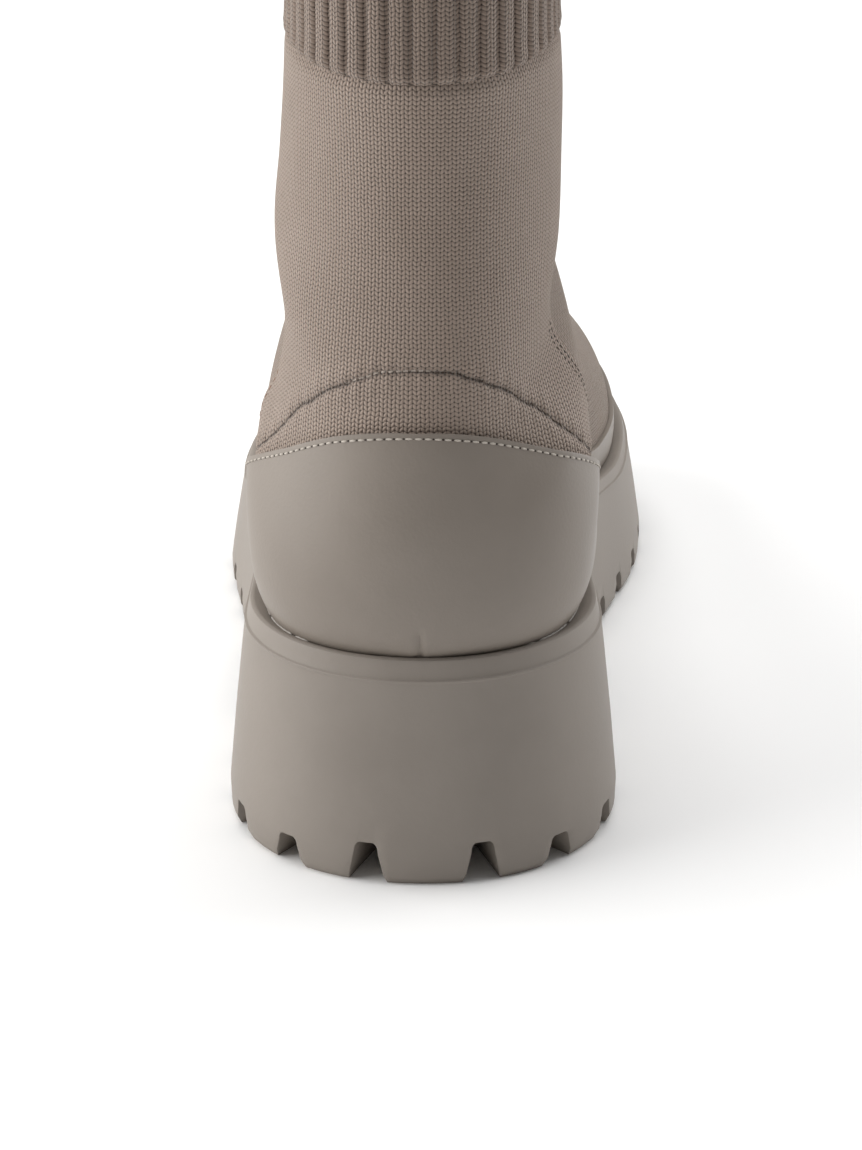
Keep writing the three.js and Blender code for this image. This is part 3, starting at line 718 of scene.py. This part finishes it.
def counter_relief(points):
    """The dart and the bulge round it at the heel, and the step down where the back panel ends."""
    x, y, z = points[..., 0], points[..., 1], points[..., 2]
    dart = np.exp(-(((x - dart_across) / dart_half) ** 2)) * np.clip((dart_top - z) / dart_fade, 0, 1)
    bulge = np.exp(-(((x - bulge_across) / bulge_half) ** 2)) * np.clip((bulge_top - z) / bulge_fade, 0, 1)
    at_heel = y < 30
    past_lap = eased(np.clip((y - lap_line(z) - 1) / 9, 0, 1))
    return (bulge * bulge_height - dart_depth * dart) * at_heel - lap_step * past_lap


def counter_map(points):
    return np.stack([round_run(points) / 10, points[..., 2] / 10], -1)


counter_places = np.concatenate([np.linspace(9.2, 13.0, 60, endpoint=False), np.linspace(13.0, 16.46, 96)])
counter_stand = lap_step + gap + counter_wall
counter_piece = panel("heel_counter", counter_places, 84, in_counter, counter_stand, counter_wall,
                      relief=counter_relief, maps={"UVMap": counter_map})
cut_edges(counter_piece, 0.3, 55)
smooth_faces(counter_piece, 50)
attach(counter_piece, "root")
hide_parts("counter")
print("counter:", faces_of(counter_piece), "triangles")


# %% Foxing
def in_foxing(points):
    past_end = points[..., 1] - foxing_rows[0][0] * sole_length
    return np.minimum(np.minimum(above_ledge(points), foxing_top(points[..., 1]) - points[..., 2]), past_end)


foxing_places = np.concatenate([np.linspace(0.0, 2.0, 26, endpoint=False), np.linspace(2.0, 11.6, 130)])
foxing_piece = panel("foxing_band", foxing_places, 14, in_foxing, foxing_wall + 0.05, foxing_wall,
                     maps={"UVMap": counter_map}, closed_toe=True)
cut_edges(foxing_piece, 0.3, 55)
smooth_faces(foxing_piece, 50)
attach(foxing_piece, "root")
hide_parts("foxing")
print("foxing:", faces_of(foxing_piece), "triangles")

# %% [markdown]
# ## The outsole
# The sole is moulded in one go, with a leaning side wall, a thin rim that stands above the ledge, notches
# between its lugs, a groove round the tread and a hollow arch. It is made like the mould: the plain body is
# laid as a closed strip round the outline, then wedges and slabs are cut out of it, and at last a narrow
# bevel rounds every edge, as rubber can't have a sharp one.

# %% Outline rings
# Side wall from the floor up: rise as a share of its height, inset as a share of wall_lean
wall_rows = [
    (0.0, 0.22), (0.04, 0.03), (0.14, 0.0), (0.3, 0.15), (0.46, 0.3), (0.62, 0.47), (0.76, 0.62),
    (0.85, 0.72), (0.898, 0.775), (0.903, 0.745), (0.91, 0.755), (0.914, 0.85), (0.95, 0.93),
    (0.98, 0.98), (0.993, 1.02), (0.999, 1.1), (1.0, 1.22),
]
shown_lip = 0.5  # the rim shows a lower lip over the ledge than its solid has


def outline_ring(inset, height, steps=96):
    """Once round the sole from the back centre over the inner side, as a closed row of points."""
    share = 0.5 - 0.5 * np.cos(math.pi * np.arange(steps + 1) / steps)
    y = inset + share * (sole_length - 2 * inset)
    inner = np.stack([middle(y) + half_width(y, "inner", inset), y, height(y)], -1)
    outer = np.stack([middle(y) - half_width(y, "outer", inset), y, height(y)], -1)
    return np.concatenate([inner, outer[::-1][1:]])


def drawn_in(ring, share):
    """The ring pulled towards its own middle line, for the flat parts of the sole."""
    mid = middle(ring[:, 1])
    out = ring.copy()
    out[:, 0] = mid + (ring[:, 0] - mid) * share
    return out


def sole_strip(name, rings):
    points = np.array(rings)
    cloth = flat_cloth(name, *points.shape[:2])
    return faces_outward(merge_doubles(lay(cloth, points, {})))


def sole_body():
    rings = []
    for rise, inset in wall_rows:
        height = lambda y, rise=rise: underside(y) + rise * (seat(y) + shown_lip - underside(y))
        rings.append(outline_ring(inset * wall_lean, height))
    ledge = outline_ring(wall_lean + ledge_width, seat)
    below = [drawn_in(rings[0], share) for share in (0.0, 0.4, 0.75, 0.93)]
    above = [ledge] + [drawn_in(ledge, share) for share in (0.6, 0.0)]
    return sole_strip("outsole_unit", below + rings + above)


sole = sole_body()
print("sole body:", faces_of(sole), "triangles before cutting")

# %% Notches and hollows
lug_pitch, first_notch, lug_shift, tip_notch, tip_shift = 17.4, 11.3, 1.6, 18.9, 1.5
notch_top, notch_foot, notch_depth, notch_past = 4.7, 7.8, 15.0, 6.0
notch_height, first_height, groove_width, groove_depth = 6.2, 8.4, 4.0, 4.6
heel_length, arch_length, arch_height = 77.0, 47.0, 15.0


def notch_cutter(place, out, height):
    """A wedge with a narrow round top, lying square to the edge of the sole."""
    wedge = primitive(bpy.ops.mesh.primitive_cube_add, size=1)
    top, foot = notch_top / 2, notch_foot / 2
    lift = float(underside(place[1]))
    run = np.array([-out[1], out[0], 0.0])
    bpy.ops.object.mode_set(mode="EDIT")
    bpy.ops.mesh.select_all(action="DESELECT")
    bpy.ops.object.mode_set(mode="OBJECT")
    for edge in wedge.data.edges:
        a, b = (wedge.data.vertices[i].co for i in edge.vertices)
        edge.select = a.z > 0 and b.z > 0 and abs(a.y - b.y) > 0.5
    bpy.ops.object.mode_set(mode="EDIT")
    bpy.ops.mesh.select_mode(type="EDGE")
    bpy.ops.mesh.bevel(offset=0.24, segments=6)
    bpy.ops.object.mode_set(mode="OBJECT")
    for vertex in wedge.data.vertices:
        x, y, z = vertex.co
        half = top if z > 0 else foot + (foot - top) / 2
        up = lift + height - (0.5 - z) * height if z > 0 else lift - height / 2
        depth = notch_past if y > 0 else -notch_depth
        spot = np.array([*place, 0.0]) + run * (x * 2 * half) + np.array([*out, 0]) * depth
        vertex.co = Vector((np.array([spot[0], spot[1], up]) + to_frame) * MM)
    return wedge


def edge_spot(edge, run):
    lengths = np.concatenate([[0], np.cumsum(np.linalg.norm(np.diff(edge, axis=0), axis=1))])
    at = [float(np.interp(run, lengths, edge[:, k])) for k in (0, 1)]
    i = min(max(int(np.searchsorted(lengths, run)) - 1, 0), len(edge) - 2)
    way = edge[i + 1] - edge[i]
    return at, way / np.linalg.norm(way), lengths[-1]


def all_notches():
    ring = outline_ring(0, lambda y: np.zeros_like(y), 26)
    half = len(ring) // 2
    wedges = []
    for turn in (1, -1):
        edge = ring[: half + 1, :2] if turn == 1 else ring[half:, :2][::-1]
        length = edge_spot(edge, 0)[2]
        run, first = first_notch + turn * lug_shift, True
        while edge_spot(edge, run)[0][1] < heel_length - lug_pitch / 2:
            place, way, _ = edge_spot(edge, run)
            height = first_height if first else notch_height
            wedges.append(notch_cutter(place, (way[1] * turn, -way[0] * turn), height))
            run, first = run + lug_pitch, False
        run = length - tip_notch + turn * tip_shift
        while edge_spot(edge, run)[0][1] > heel_length + arch_length + lug_pitch / 2:
            place, way, _ = edge_spot(edge, run)
            wedges.append(notch_cutter(place, (way[1] * turn, -way[0] * turn), notch_height))
            run -= lug_pitch
    print("notches:", len(wedges))
    return faces_outward(join(wedges, "notch_wedges"))


def arch_cutter():
    """The hollow between heel and forepart, drawn from the side and drawn out across the boot."""
    shares = [
        (0, -0.4), (0, 0), (0.06, 0.6), (0.09, 0.78), (0.13, 0.9), (0.19, 0.975), (0.26, 1.0), (0.37, 0.96),
        (0.48, 0.885), (0.58, 0.79), (0.675, 0.68), (0.77, 0.54), (0.85, 0.385), (0.93, 0.2), (1.0, 0.0),
        (1.0, -0.4)]
    arch = primitive(bpy.ops.mesh.primitive_circle_add, vertices=len(shares), fill_type="NGON")
    for vertex, (at, up) in zip(arch.data.vertices, shares):
        spot = np.array([-100.0, heel_length + at * arch_length, up * arch_height])
        vertex.co = Vector((spot + to_frame) * MM)
    edit_all(arch, bpy.ops.mesh.extrude_region_move, TRANSFORM_OT_translate={"value": (0.2, 0, 0)})
    return faces_outward(arch)


def slab(name, inset, top, bottom=-6.0):
    low = outline_ring(inset, lambda y: np.full_like(y, bottom), 40)
    high = outline_ring(inset, top, 40)
    return sole_strip(name, [drawn_in(low, 0.0), low, high, drawn_in(high, 0.0)])


def cut(piece, cutter):
    finish_with(piece, "BOOLEAN", operation="DIFFERENCE", solver="EXACT", object=cutter)
    bpy.data.objects.remove(cutter)
    return piece


# %% Cut the sole
def tread_cutter():
    blocks = slab("tread_blocks", notch_depth + groove_width, lambda y: np.full_like(y, heel_height), -8.0)
    y = heel_round - notch_depth
    bars = []
    while y < sole_length - toe_round / 2:
        bar = primitive(bpy.ops.mesh.primitive_cube_add, size=1)
        for vertex in bar.data.vertices:
            spot = np.array([vertex.co.x * 120, y + vertex.co.y * groove_width, vertex.co.z * 176])
            vertex.co = Vector((spot + to_frame) * MM)
        bars.append(bar)
        y += lug_pitch
    cut(blocks, join(bars, "tread_bars"))
    groove = slab("tread_groove", notch_depth, lambda y: underside(y) + groove_depth)
    return cut(groove, blocks)


cut(sole, arch_cutter())
cut(sole, tread_cutter())
cut(sole, all_notches())
merge_doubles(sole, 0.00002)
cut_edges(sole, 0.35, 38)
smooth_faces(sole, 34)
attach(sole, "root")
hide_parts("outsole")
print("outsole:", faces_of(sole), "triangles")

# %% [markdown]
# ## Stitches
# A stitch is a short stretch of thread between two needle holes. One stitch is shaped from a small ball,
# then copied along a line. Each copy gets its own mesh and its own place, and at the end they become one
# piece. The shade inside a needle hole is painted: each hole is a small flat dark drop that lies in the
# surface.


# %% Stitch helpers
def along_line(points, pitch):
    run = np.concatenate([[0], np.cumsum(np.linalg.norm(np.diff(points, axis=0), axis=1))])
    at = np.arange(0.0, run[-1], pitch)

    def spots_at(way_along):
        return np.stack([np.interp(way_along, run, points[:, k]) for k in range(3)], -1)

    look = 0.3
    ways = spots_at(np.minimum(at + look, run[-1])) - spots_at(np.maximum(at - look, 0))
    return at, spots_at(at), ways / (np.linalg.norm(ways, axis=1, keepdims=True) + 1e-9)


def copies(name, sizes, spots, ways, normals):
    """One small ball stretched to sizes, length width height in millimetres, copied to every spot."""
    model = primitive(bpy.ops.mesh.primitive_uv_sphere_add, segments=8, ring_count=6, radius=0.5)
    made = []
    for spot, way, normal in zip(spots, ways, normals):
        one = model.copy()
        one.data = model.data.copy()
        bpy.context.collection.objects.link(one)
        x = Vector(way)
        z = Vector(normal).normalized()
        x = (x - z * x.dot(z)).normalized()
        y = z.cross(x)
        turn = Matrix((x * sizes[0], y * sizes[1], z * sizes[2])).transposed().to_4x4()
        place = Matrix.Translation(Vector(spot + to_frame))
        one.data.transform(Matrix.Scale(MM, 4) @ place @ turn)
        made.append(one)
    bpy.data.objects.remove(model)
    return smooth_faces(join(made, name), 80)


def spots_on_edge(inside, stand, places):
    """Points of a panel's edge line, one for each place, with the way out of the last there."""
    points, normals = [], []
    for side in ("outer", "inner"):
        kept, angles = row_angles(side, places, 60, inside, stand)
        end = angles[:, -1]
        edge = on_last(kept, end, np.full(len(kept), stand))
        out = outward(kept, end)
        order = slice(None, None, 1) if side == "outer" else slice(None, None, -1)
        points.append(edge[order])
        normals.append(out[order])
    return np.concatenate(points), np.concatenate(normals)


def nearest_of(line, spots):
    return [int(np.argmin(np.linalg.norm(line - spot, axis=1))) for spot in spots]


# %% Topstitch of the counter
stitch_inset, stitch_pitch = 1.15, 1.8


def in_topstitch(points):
    return np.minimum(above_ledge(points), counter_top(points[..., 1]) - stitch_inset - points[..., 2])


stitch_places = np.linspace(11.0, 16.44, 220)
line, line_out = spots_on_edge(in_topstitch, counter_stand, stitch_places)
order = np.argsort(bearing(line))
line, line_out = line[order], line_out[order]
at, spots, ways = along_line(line, stitch_pitch)
normals = line_out[nearest_of(line, spots)]
threads = copies("counter_topstitch", (1.35, 0.42, 0.34), spots + normals * 0.06, ways, normals)
# Flat dark drops of painted shade where the needle holes are.
holes = copies("counter_needle_holes", (0.5, 0.42, 0.16), spots + ways * stitch_pitch / 2, ways, normals)
for piece in (threads, holes):
    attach(piece, "root")
print("topstitch:", len(spots), "stitches over", round(float(at[-1])), "mm")

# %% [markdown]
# ## Cement line and lap stitching
# Where the counter sits on the ledge of the sole, a thin pale line of cement has squeezed out. It is a
# string of drops that run into each other, so a few are longer than others. Beside the lap of the two knit
# panels runs a double row of needle slots on the inner side, drawn as dark drops of painted shade, and a row
# of brown dashes on the other.


# %% Cement line
def ledge_line(places, stand):
    points = []
    for side in ("outer", "inner"):
        kept, angles = row_angles(side, places, 60, lambda p: above_ledge(p, 0.25), stand)
        start = angles[:, 0]
        turned = np.abs(np.cos(start)) > 0.02
        points.append(on_last(kept[turned], start[turned], np.full(turned.sum(), stand)))
    line = np.concatenate(points)
    line = line[line[:, 1] < 70]
    return line[np.argsort(bearing(line))]


cement = ledge_line(np.linspace(9.5, 13.4, 260), counter_stand + 0.1)
at, spots, ways = along_line(cement, 1.6)
squeezed = 0.5 + 0.5 * np.sin(at * 0.9) * np.sin(at * 0.37 + 1) > 0.2
upright = np.tile([0.0, 0.0, 1.0], (squeezed.sum(), 1))
cement_drops = copies("cement_line", (2.2, 0.34, 0.4), spots[squeezed], ways[squeezed], upright)
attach(cement_drops, "root")
print("cement line:", round(float(at[-1])), "mm")


# %% Lap stitching
def lap_points(side, z_from, z_to, back, stand):
    """Points of the back panel beside its lap edge, from one height to another."""
    places = np.linspace(12.5, 19.5, 500)
    kept, angles = row_angles(side, places, 60, lambda p: lap_line(p[..., 2]) - back - p[..., 1], stand)
    end = angles[:, -1]
    edge = on_last(kept, end, np.full(len(kept), stand))
    good = (edge[:, 2] > z_from) & (edge[:, 2] < z_to)
    return edge[good], outward(kept[good], end[good])


def stitched(name, side, z_from, z_to, back, pitch, sizes):
    line, out = lap_points(side, z_from, z_to, back, lap_step)
    _, spots, ways = along_line(line, pitch)
    return copies(name, sizes, spots, ways, out[nearest_of(line, spots)])


# Slots a to c are flat dark drops of painted shade in the needle slots, and d is brown thread.
lap_slots = [
    stitched("lap_slots_a", "inner", 88, 102, 1.3, 1.3, (0.95, 0.42, 0.2)),
    stitched("lap_slots_b", "inner", 86, 101, 2.6, 1.3, (0.85, 0.36, 0.2)),
    stitched("lap_slots_c", "inner", 72, 86, 1.3, 2.6, (0.8, 0.34, 0.2)),
    stitched("lap_slots_d", "outer", 74, 92, 1.2, 2.3, (1.5, 0.34, 0.2)),
]
for piece in lap_slots:
    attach(piece, "root")
print("lap stitching:", [faces_of(piece) for piece in lap_slots])

# %% [markdown]
# ## Finishes
# Each finish is a plain Principled shader fed by small node groups. The groups work out patterns only:
# heights, masks and shades. The same group can then serve several finishes with other numbers. Through the
# collar the inside of the knit shows, then the insole. The insole is the frame's own solid, whose shape is
# right, so it only gets a fabric finish.


# %% Node helpers
def calc(tree, operation, *values):
    node = tree.nodes.new("ShaderNodeMath")
    node.operation = operation
    for socket, value in zip(node.inputs, values):
        if isinstance(value, (int, float)):
            socket.default_value = value
        else:
            tree.links.new(value, socket)
    return node.outputs[0]


def plus(tree, first, second):
    return calc(tree, "ADD", first, second)


def minus(tree, first, second):
    return calc(tree, "SUBTRACT", first, second)


def times(tree, first, second):
    return calc(tree, "MULTIPLY", first, second)


def sine(tree, value):
    return calc(tree, "SINE", value)


def away_from(tree, value, middle_value):
    return calc(tree, "ABSOLUTE", minus(tree, value, middle_value))


def ramp(tree, value, low, high, start=0.0, end=1.0):
    node = tree.nodes.new("ShaderNodeMapRange")
    node.interpolation_type = "SMOOTHSTEP"
    tree.links.new(value, node.inputs["Value"])
    for key, number in (("From Min", low), ("From Max", high), ("To Min", start), ("To Max", end)):
        node.inputs[key].default_value = number
    return node.outputs["Result"]


def noise(tree, vector, scale, detail):
    node = tree.nodes.new("ShaderNodeTexNoise")
    node.inputs["Scale"].default_value = scale
    node.inputs["Detail"].default_value = detail
    node.inputs["Roughness"].default_value = 0.55
    tree.links.new(vector, node.inputs["Vector"])
    return node.outputs["Fac"]


def new_group(name, inputs, outputs):
    tree = bpy.data.node_groups.new(name, "ShaderNodeTree")
    for label, kind, default in inputs:
        socket = tree.interface.new_socket(name=label, in_out="INPUT", socket_type=kind)
        if default is not None:
            socket.default_value = default
    for label in outputs:
        tree.interface.new_socket(name=label, in_out="OUTPUT", socket_type="NodeSocketFloat")
    return tree, tree.nodes.new("NodeGroupInput"), tree.nodes.new("NodeGroupOutput")


# %% [markdown]
# ### Knit loops
# A plain knit shows columns of V shapes. Each V is two slanting legs of yarn, with a small hole between
# neighbours, into which the knit finish paints shade through the Gap mask. In the group, the fraction of the
# wale count says where a point lies in its column, and the course count, slanted by that, says how far along
# the leg it is.


# %% Knit group
def knit_group():
    tree, start, end = new_group(
        "knit_loops",
        [("Stitches", "NodeSocketVector", None), ("Slant", "NodeSocketFloat", 1.0),
         ("Unevenness", "NodeSocketFloat", 0.1)],
        ["Height", "Gap"],
    )
    stitches, slant, unevenness = (start.outputs[k] for k in range(3))
    split = tree.nodes.new("ShaderNodeSeparateXYZ")
    tree.links.new(stitches, split.inputs[0])
    wander = minus(tree, noise(tree, stitches, 0.35, 2), 0.5)
    jitter = minus(tree, noise(tree, stitches, 1.7, 1), 0.5)
    shift = times(tree, plus(tree, times(tree, wander, 3.0), jitter), unevenness)
    x = plus(tree, split.outputs["X"], shift)
    column_x = away_from(tree, calc(tree, "FRACT", x), 0.5)
    y = plus(tree, split.outputs["Y"], times(tree, jitter, unevenness))
    y = plus(tree, y, times(tree, column_x, slant))
    leg = calc(tree, "MAXIMUM", sine(tree, times(tree, column_x, 2 * math.pi)), 0.0)
    leg = calc(tree, "POWER", leg, 0.7)
    wave = calc(tree, "ABSOLUTE", sine(tree, times(tree, y, math.pi)))
    wave = calc(tree, "POWER", wave, 0.8)
    crown = times(tree, wave, plus(tree, 0.38, times(tree, leg, 0.62)))
    neck = times(tree, leg, times(tree, minus(tree, 1.0, wave), 0.4))
    height = plus(tree, crown, neck)
    tree.links.new(height, end.inputs["Height"])
    # Gap is 1 in the holes between the loops, where the knit finish paints shade.
    tree.links.new(ramp(tree, height, 0.08, 0.72, 1.0, 0.0), end.inputs["Gap"])
    return tree


knit_loops = knit_group()


# %% Grain group
def grain_group():
    tree, start, end = new_group(
        "fine_grain",
        [("Place", "NodeSocketVector", None), ("Scale", "NodeSocketFloat", 900.0)],
        ["Height", "Mottle"],
    )
    place, scale = start.outputs[0], start.outputs[1]
    fine = tree.nodes.new("ShaderNodeTexVoronoi")
    fine.feature = "SMOOTH_F1"
    tree.links.new(place, fine.inputs["Vector"])
    tree.links.new(scale, fine.inputs["Scale"])
    pores = times(tree, noise(tree, place, 2600.0, 2), 0.5)
    height = plus(tree, times(tree, fine.outputs["Distance"], 0.6), pores)
    tree.links.new(height, end.inputs["Height"])
    tree.links.new(noise(tree, place, 45.0, 5), end.inputs["Mottle"])
    return tree


fine_grain = grain_group()


# %% Material helpers
def linear(red, green, blue):
    """A colour given as it looks on the screen, 0 to 255."""
    values = [v / 255 for v in (red, green, blue)]
    return tuple(v / 12.92 if v <= 0.04045 else ((v + 0.055) / 1.055) ** 2.4 for v in values) + (1.0,)


def new_material(name, **settings):
    material = bpy.data.materials.new(name)
    material.use_nodes = True
    shader = material.node_tree.nodes["Principled BSDF"]
    for key, value in settings.items():
        shader.inputs[key.replace("_", " ")].default_value = value
    return material, material.node_tree, shader


def mix(tree, share, first, second):
    node = tree.nodes.new("ShaderNodeMix")
    node.data_type = "RGBA"
    fac, a, b = node.inputs[0], node.inputs[6], node.inputs[7]
    for socket, value in ((fac, share), (a, first), (b, second)):
        if isinstance(value, (tuple, float, int)):
            socket.default_value = value
        else:
            tree.links.new(value, socket)
    return node.outputs[2]


def uv_of(tree, name):
    node = tree.nodes.new("ShaderNodeUVMap")
    node.uv_map = name
    return node.outputs["UV"]


def object_place(tree):
    return tree.nodes.new("ShaderNodeTexCoord").outputs["Object"]


def use_group(tree, group, **inputs):
    node = tree.nodes.new("ShaderNodeGroup")
    node.node_tree = group
    for key, value in inputs.items():
        if isinstance(value, (int, float)):
            node.inputs[key].default_value = value
        else:
            tree.links.new(value, node.inputs[key])
    return node.outputs


def bump(tree, shader, height, distance):
    node = tree.nodes.new("ShaderNodeBump")
    node.inputs["Distance"].default_value = distance
    node.inputs["Strength"].default_value = 1.0
    tree.links.new(height, node.inputs["Height"])
    tree.links.new(node.outputs["Normal"], shader.inputs["Normal"])
    return node


# %% Knit finish
# The dark knit colour is painted shade. It fills the holes between the loops and the shadow along the seam.
knit_light, knit_shade_colour = linear(167, 150, 138), linear(34, 24, 19)
knit_worn, seam_dark, seam_pale = linear(150, 133, 120), linear(50, 38, 31), linear(196, 182, 170)


def seam_masks(tree):
    """Shadow, thread and pale yarn of the curved seam, from its map in steps of ten millimetres."""
    split = tree.nodes.new("ShaderNodeSeparateXYZ")
    tree.links.new(uv_of(tree, "seam"), split.inputs[0])
    along, away = times(tree, split.outputs["X"], 10), times(tree, split.outputs["Y"], 10)
    wander = times(tree, minus(tree, noise(tree, uv_of(tree, "seam"), 9.0, 2), 0.5), 0.7)
    near = ramp(tree, calc(tree, "ABSOLUTE", plus(tree, away, wander)), 0.08, 0.34, 1.0, 0.0)
    dash = calc(tree, "ABSOLUTE", sine(tree, times(tree, along, math.pi / 1.35)))
    thread = times(tree, near, ramp(tree, dash, 0.15, 0.6, 0.45, 1.0))
    pale_run = ramp(tree, away_from(tree, along, -5.0), 6.0, 9.0, 1.0, 0.0)
    pale = ramp(tree, away_from(tree, away, 0.1), 0.1, 0.22, 1.0, 0.0)
    pale = times(tree, times(tree, pale, ramp(tree, dash, 0.45, 0.75)), pale_run)
    shadow = ramp(tree, calc(tree, "ABSOLUTE", away), 0.2, 1.1, 0.2, 0.0)
    return shadow, thread, pale


def knit_material(name, seam=False, light=knit_light, depth=1.0):
    material, tree, shader = new_material(name, Roughness=0.9, Sheen_Weight=0.35, Sheen_Roughness=0.5)
    shader.inputs["Sheen Tint"].default_value = (0.95, 0.9, 0.85, 1)
    shader.inputs["Specular IOR Level"].default_value = 0.2
    loops = use_group(tree, knit_loops, Stitches=uv_of(tree, "UVMap"), Unevenness=0.12)
    shade = ramp(tree, noise(tree, object_place(tree), 70.0, 4), 0.3, 0.7, 0.0, 0.35)
    colour = mix(tree, shade, light, knit_worn)
    # Painted shade in the holes between the loops, weaker where depth is lower.
    colour = mix(tree, times(tree, loops["Gap"], depth), colour, knit_shade_colour)
    fibres = times(tree, noise(tree, object_place(tree), 5200.0, 2), 0.25)
    height = plus(tree, loops["Height"], fibres)
    if seam:
        shadow, thread, pale = seam_masks(tree)
        colour = mix(tree, shadow, colour, knit_shade_colour)
        colour = mix(tree, times(tree, thread, 0.85), colour, seam_dark)
        colour = mix(tree, pale, colour, seam_pale)
        height = minus(tree, height, times(tree, thread, 0.8))
    tree.links.new(colour, shader.inputs["Base Color"])
    bump(tree, shader, height, 0.0004)
    return material


def dress(piece, material):
    piece.data.materials.clear()
    piece.data.materials.append(material)


dress(back_panel, knit_material("back_knit", seam=True))
dress(front_panel, knit_material("front_knit", light=linear(142, 128, 117), depth=0.35))
dress(cuff_piece, knit_material("cuff_knit", light=linear(146, 130, 119)))


# %% Coated microfibre and moulded rubber
def grained(name, gloss, grain_scale, shades, roughness, relief):
    """A smooth sheet with fine pores, mottled between two shades and two roughnesses."""
    material, tree, shader = new_material(name, Specular_IOR_Level=gloss)
    grain = use_group(tree, fine_grain, Place=object_place(tree), Scale=grain_scale)
    colour = mix(tree, ramp(tree, grain["Mottle"], 0.3, 0.7), *shades)
    tree.links.new(colour, shader.inputs["Base Color"])
    tree.links.new(ramp(tree, grain["Mottle"], 0.25, 0.75, *roughness), shader.inputs["Roughness"])
    bump(tree, shader, grain["Height"], relief)
    return material


coated = grained("coated_microfibre", 0.45, 1500.0, (linear(129, 120, 111), linear(134, 125, 116)),
                 (0.42, 0.54), 0.00004)
dress(counter_piece, coated)
dress(foxing_piece, coated)
dress(sole, grained("moulded_rubber", 0.4, 1100.0, (linear(134, 126, 118), linear(140, 132, 124)),
                    (0.5, 0.62), 0.00003))


# %% Thread, needle holes, cement, insole and floor
def flecked(name, roughness, scale, detail, first, second, relief=None):
    """A plain finish whose colour wavers between two shades."""
    material, tree, shader = new_material(name, Roughness=roughness)
    flecks = noise(tree, object_place(tree), scale, detail)
    tree.links.new(mix(tree, flecks, first, second), shader.inputs["Base Color"])
    if relief:
        bump(tree, shader, flecks, relief)
    return material


dress(threads, flecked("thread", 0.6, 3000.0, 1, linear(196, 188, 178), linear(170, 161, 150), 0.00006))
# Painted shade for the needle holes and the lap slots.
hole_shade = flecked("needle_hole_shade", 0.9, 900.0, 1, linear(48, 41, 36), linear(66, 57, 50))
for piece in [holes] + lap_slots[:3]:
    dress(piece, hole_shade)
dress(lap_slots[3], flecked("brown_thread", 0.8, 1500.0, 1, linear(140, 104, 84), linear(108, 82, 68)))
dress(cement_drops, flecked("cement", 0.45, 700.0, 2, linear(205, 200, 194), linear(150, 143, 136)))

lining, tree, shader = new_material("lining_fabric", Roughness=0.9)
weave = tree.nodes.new("ShaderNodeTexWave")
weave.inputs["Scale"].default_value = 420.0
tree.links.new(object_place(tree), weave.inputs["Vector"])
woven = mix(tree, weave.outputs["Fac"], linear(150, 140, 128), linear(128, 118, 108))
tree.links.new(woven, shader.inputs["Base Color"])
bump(tree, shader, weave.outputs["Fac"], 0.0001)
for slot in frame["nodes"]["insole"].material_slots:
    slot.material = lining

dress(floor, flecked("floor_paper", 0.7, 3.0, 1, (0.92, 0.92, 0.915, 1), (0.93, 0.93, 0.93, 1)))
print("finishes:", sorted(m.name for m in bpy.data.materials if m.users))
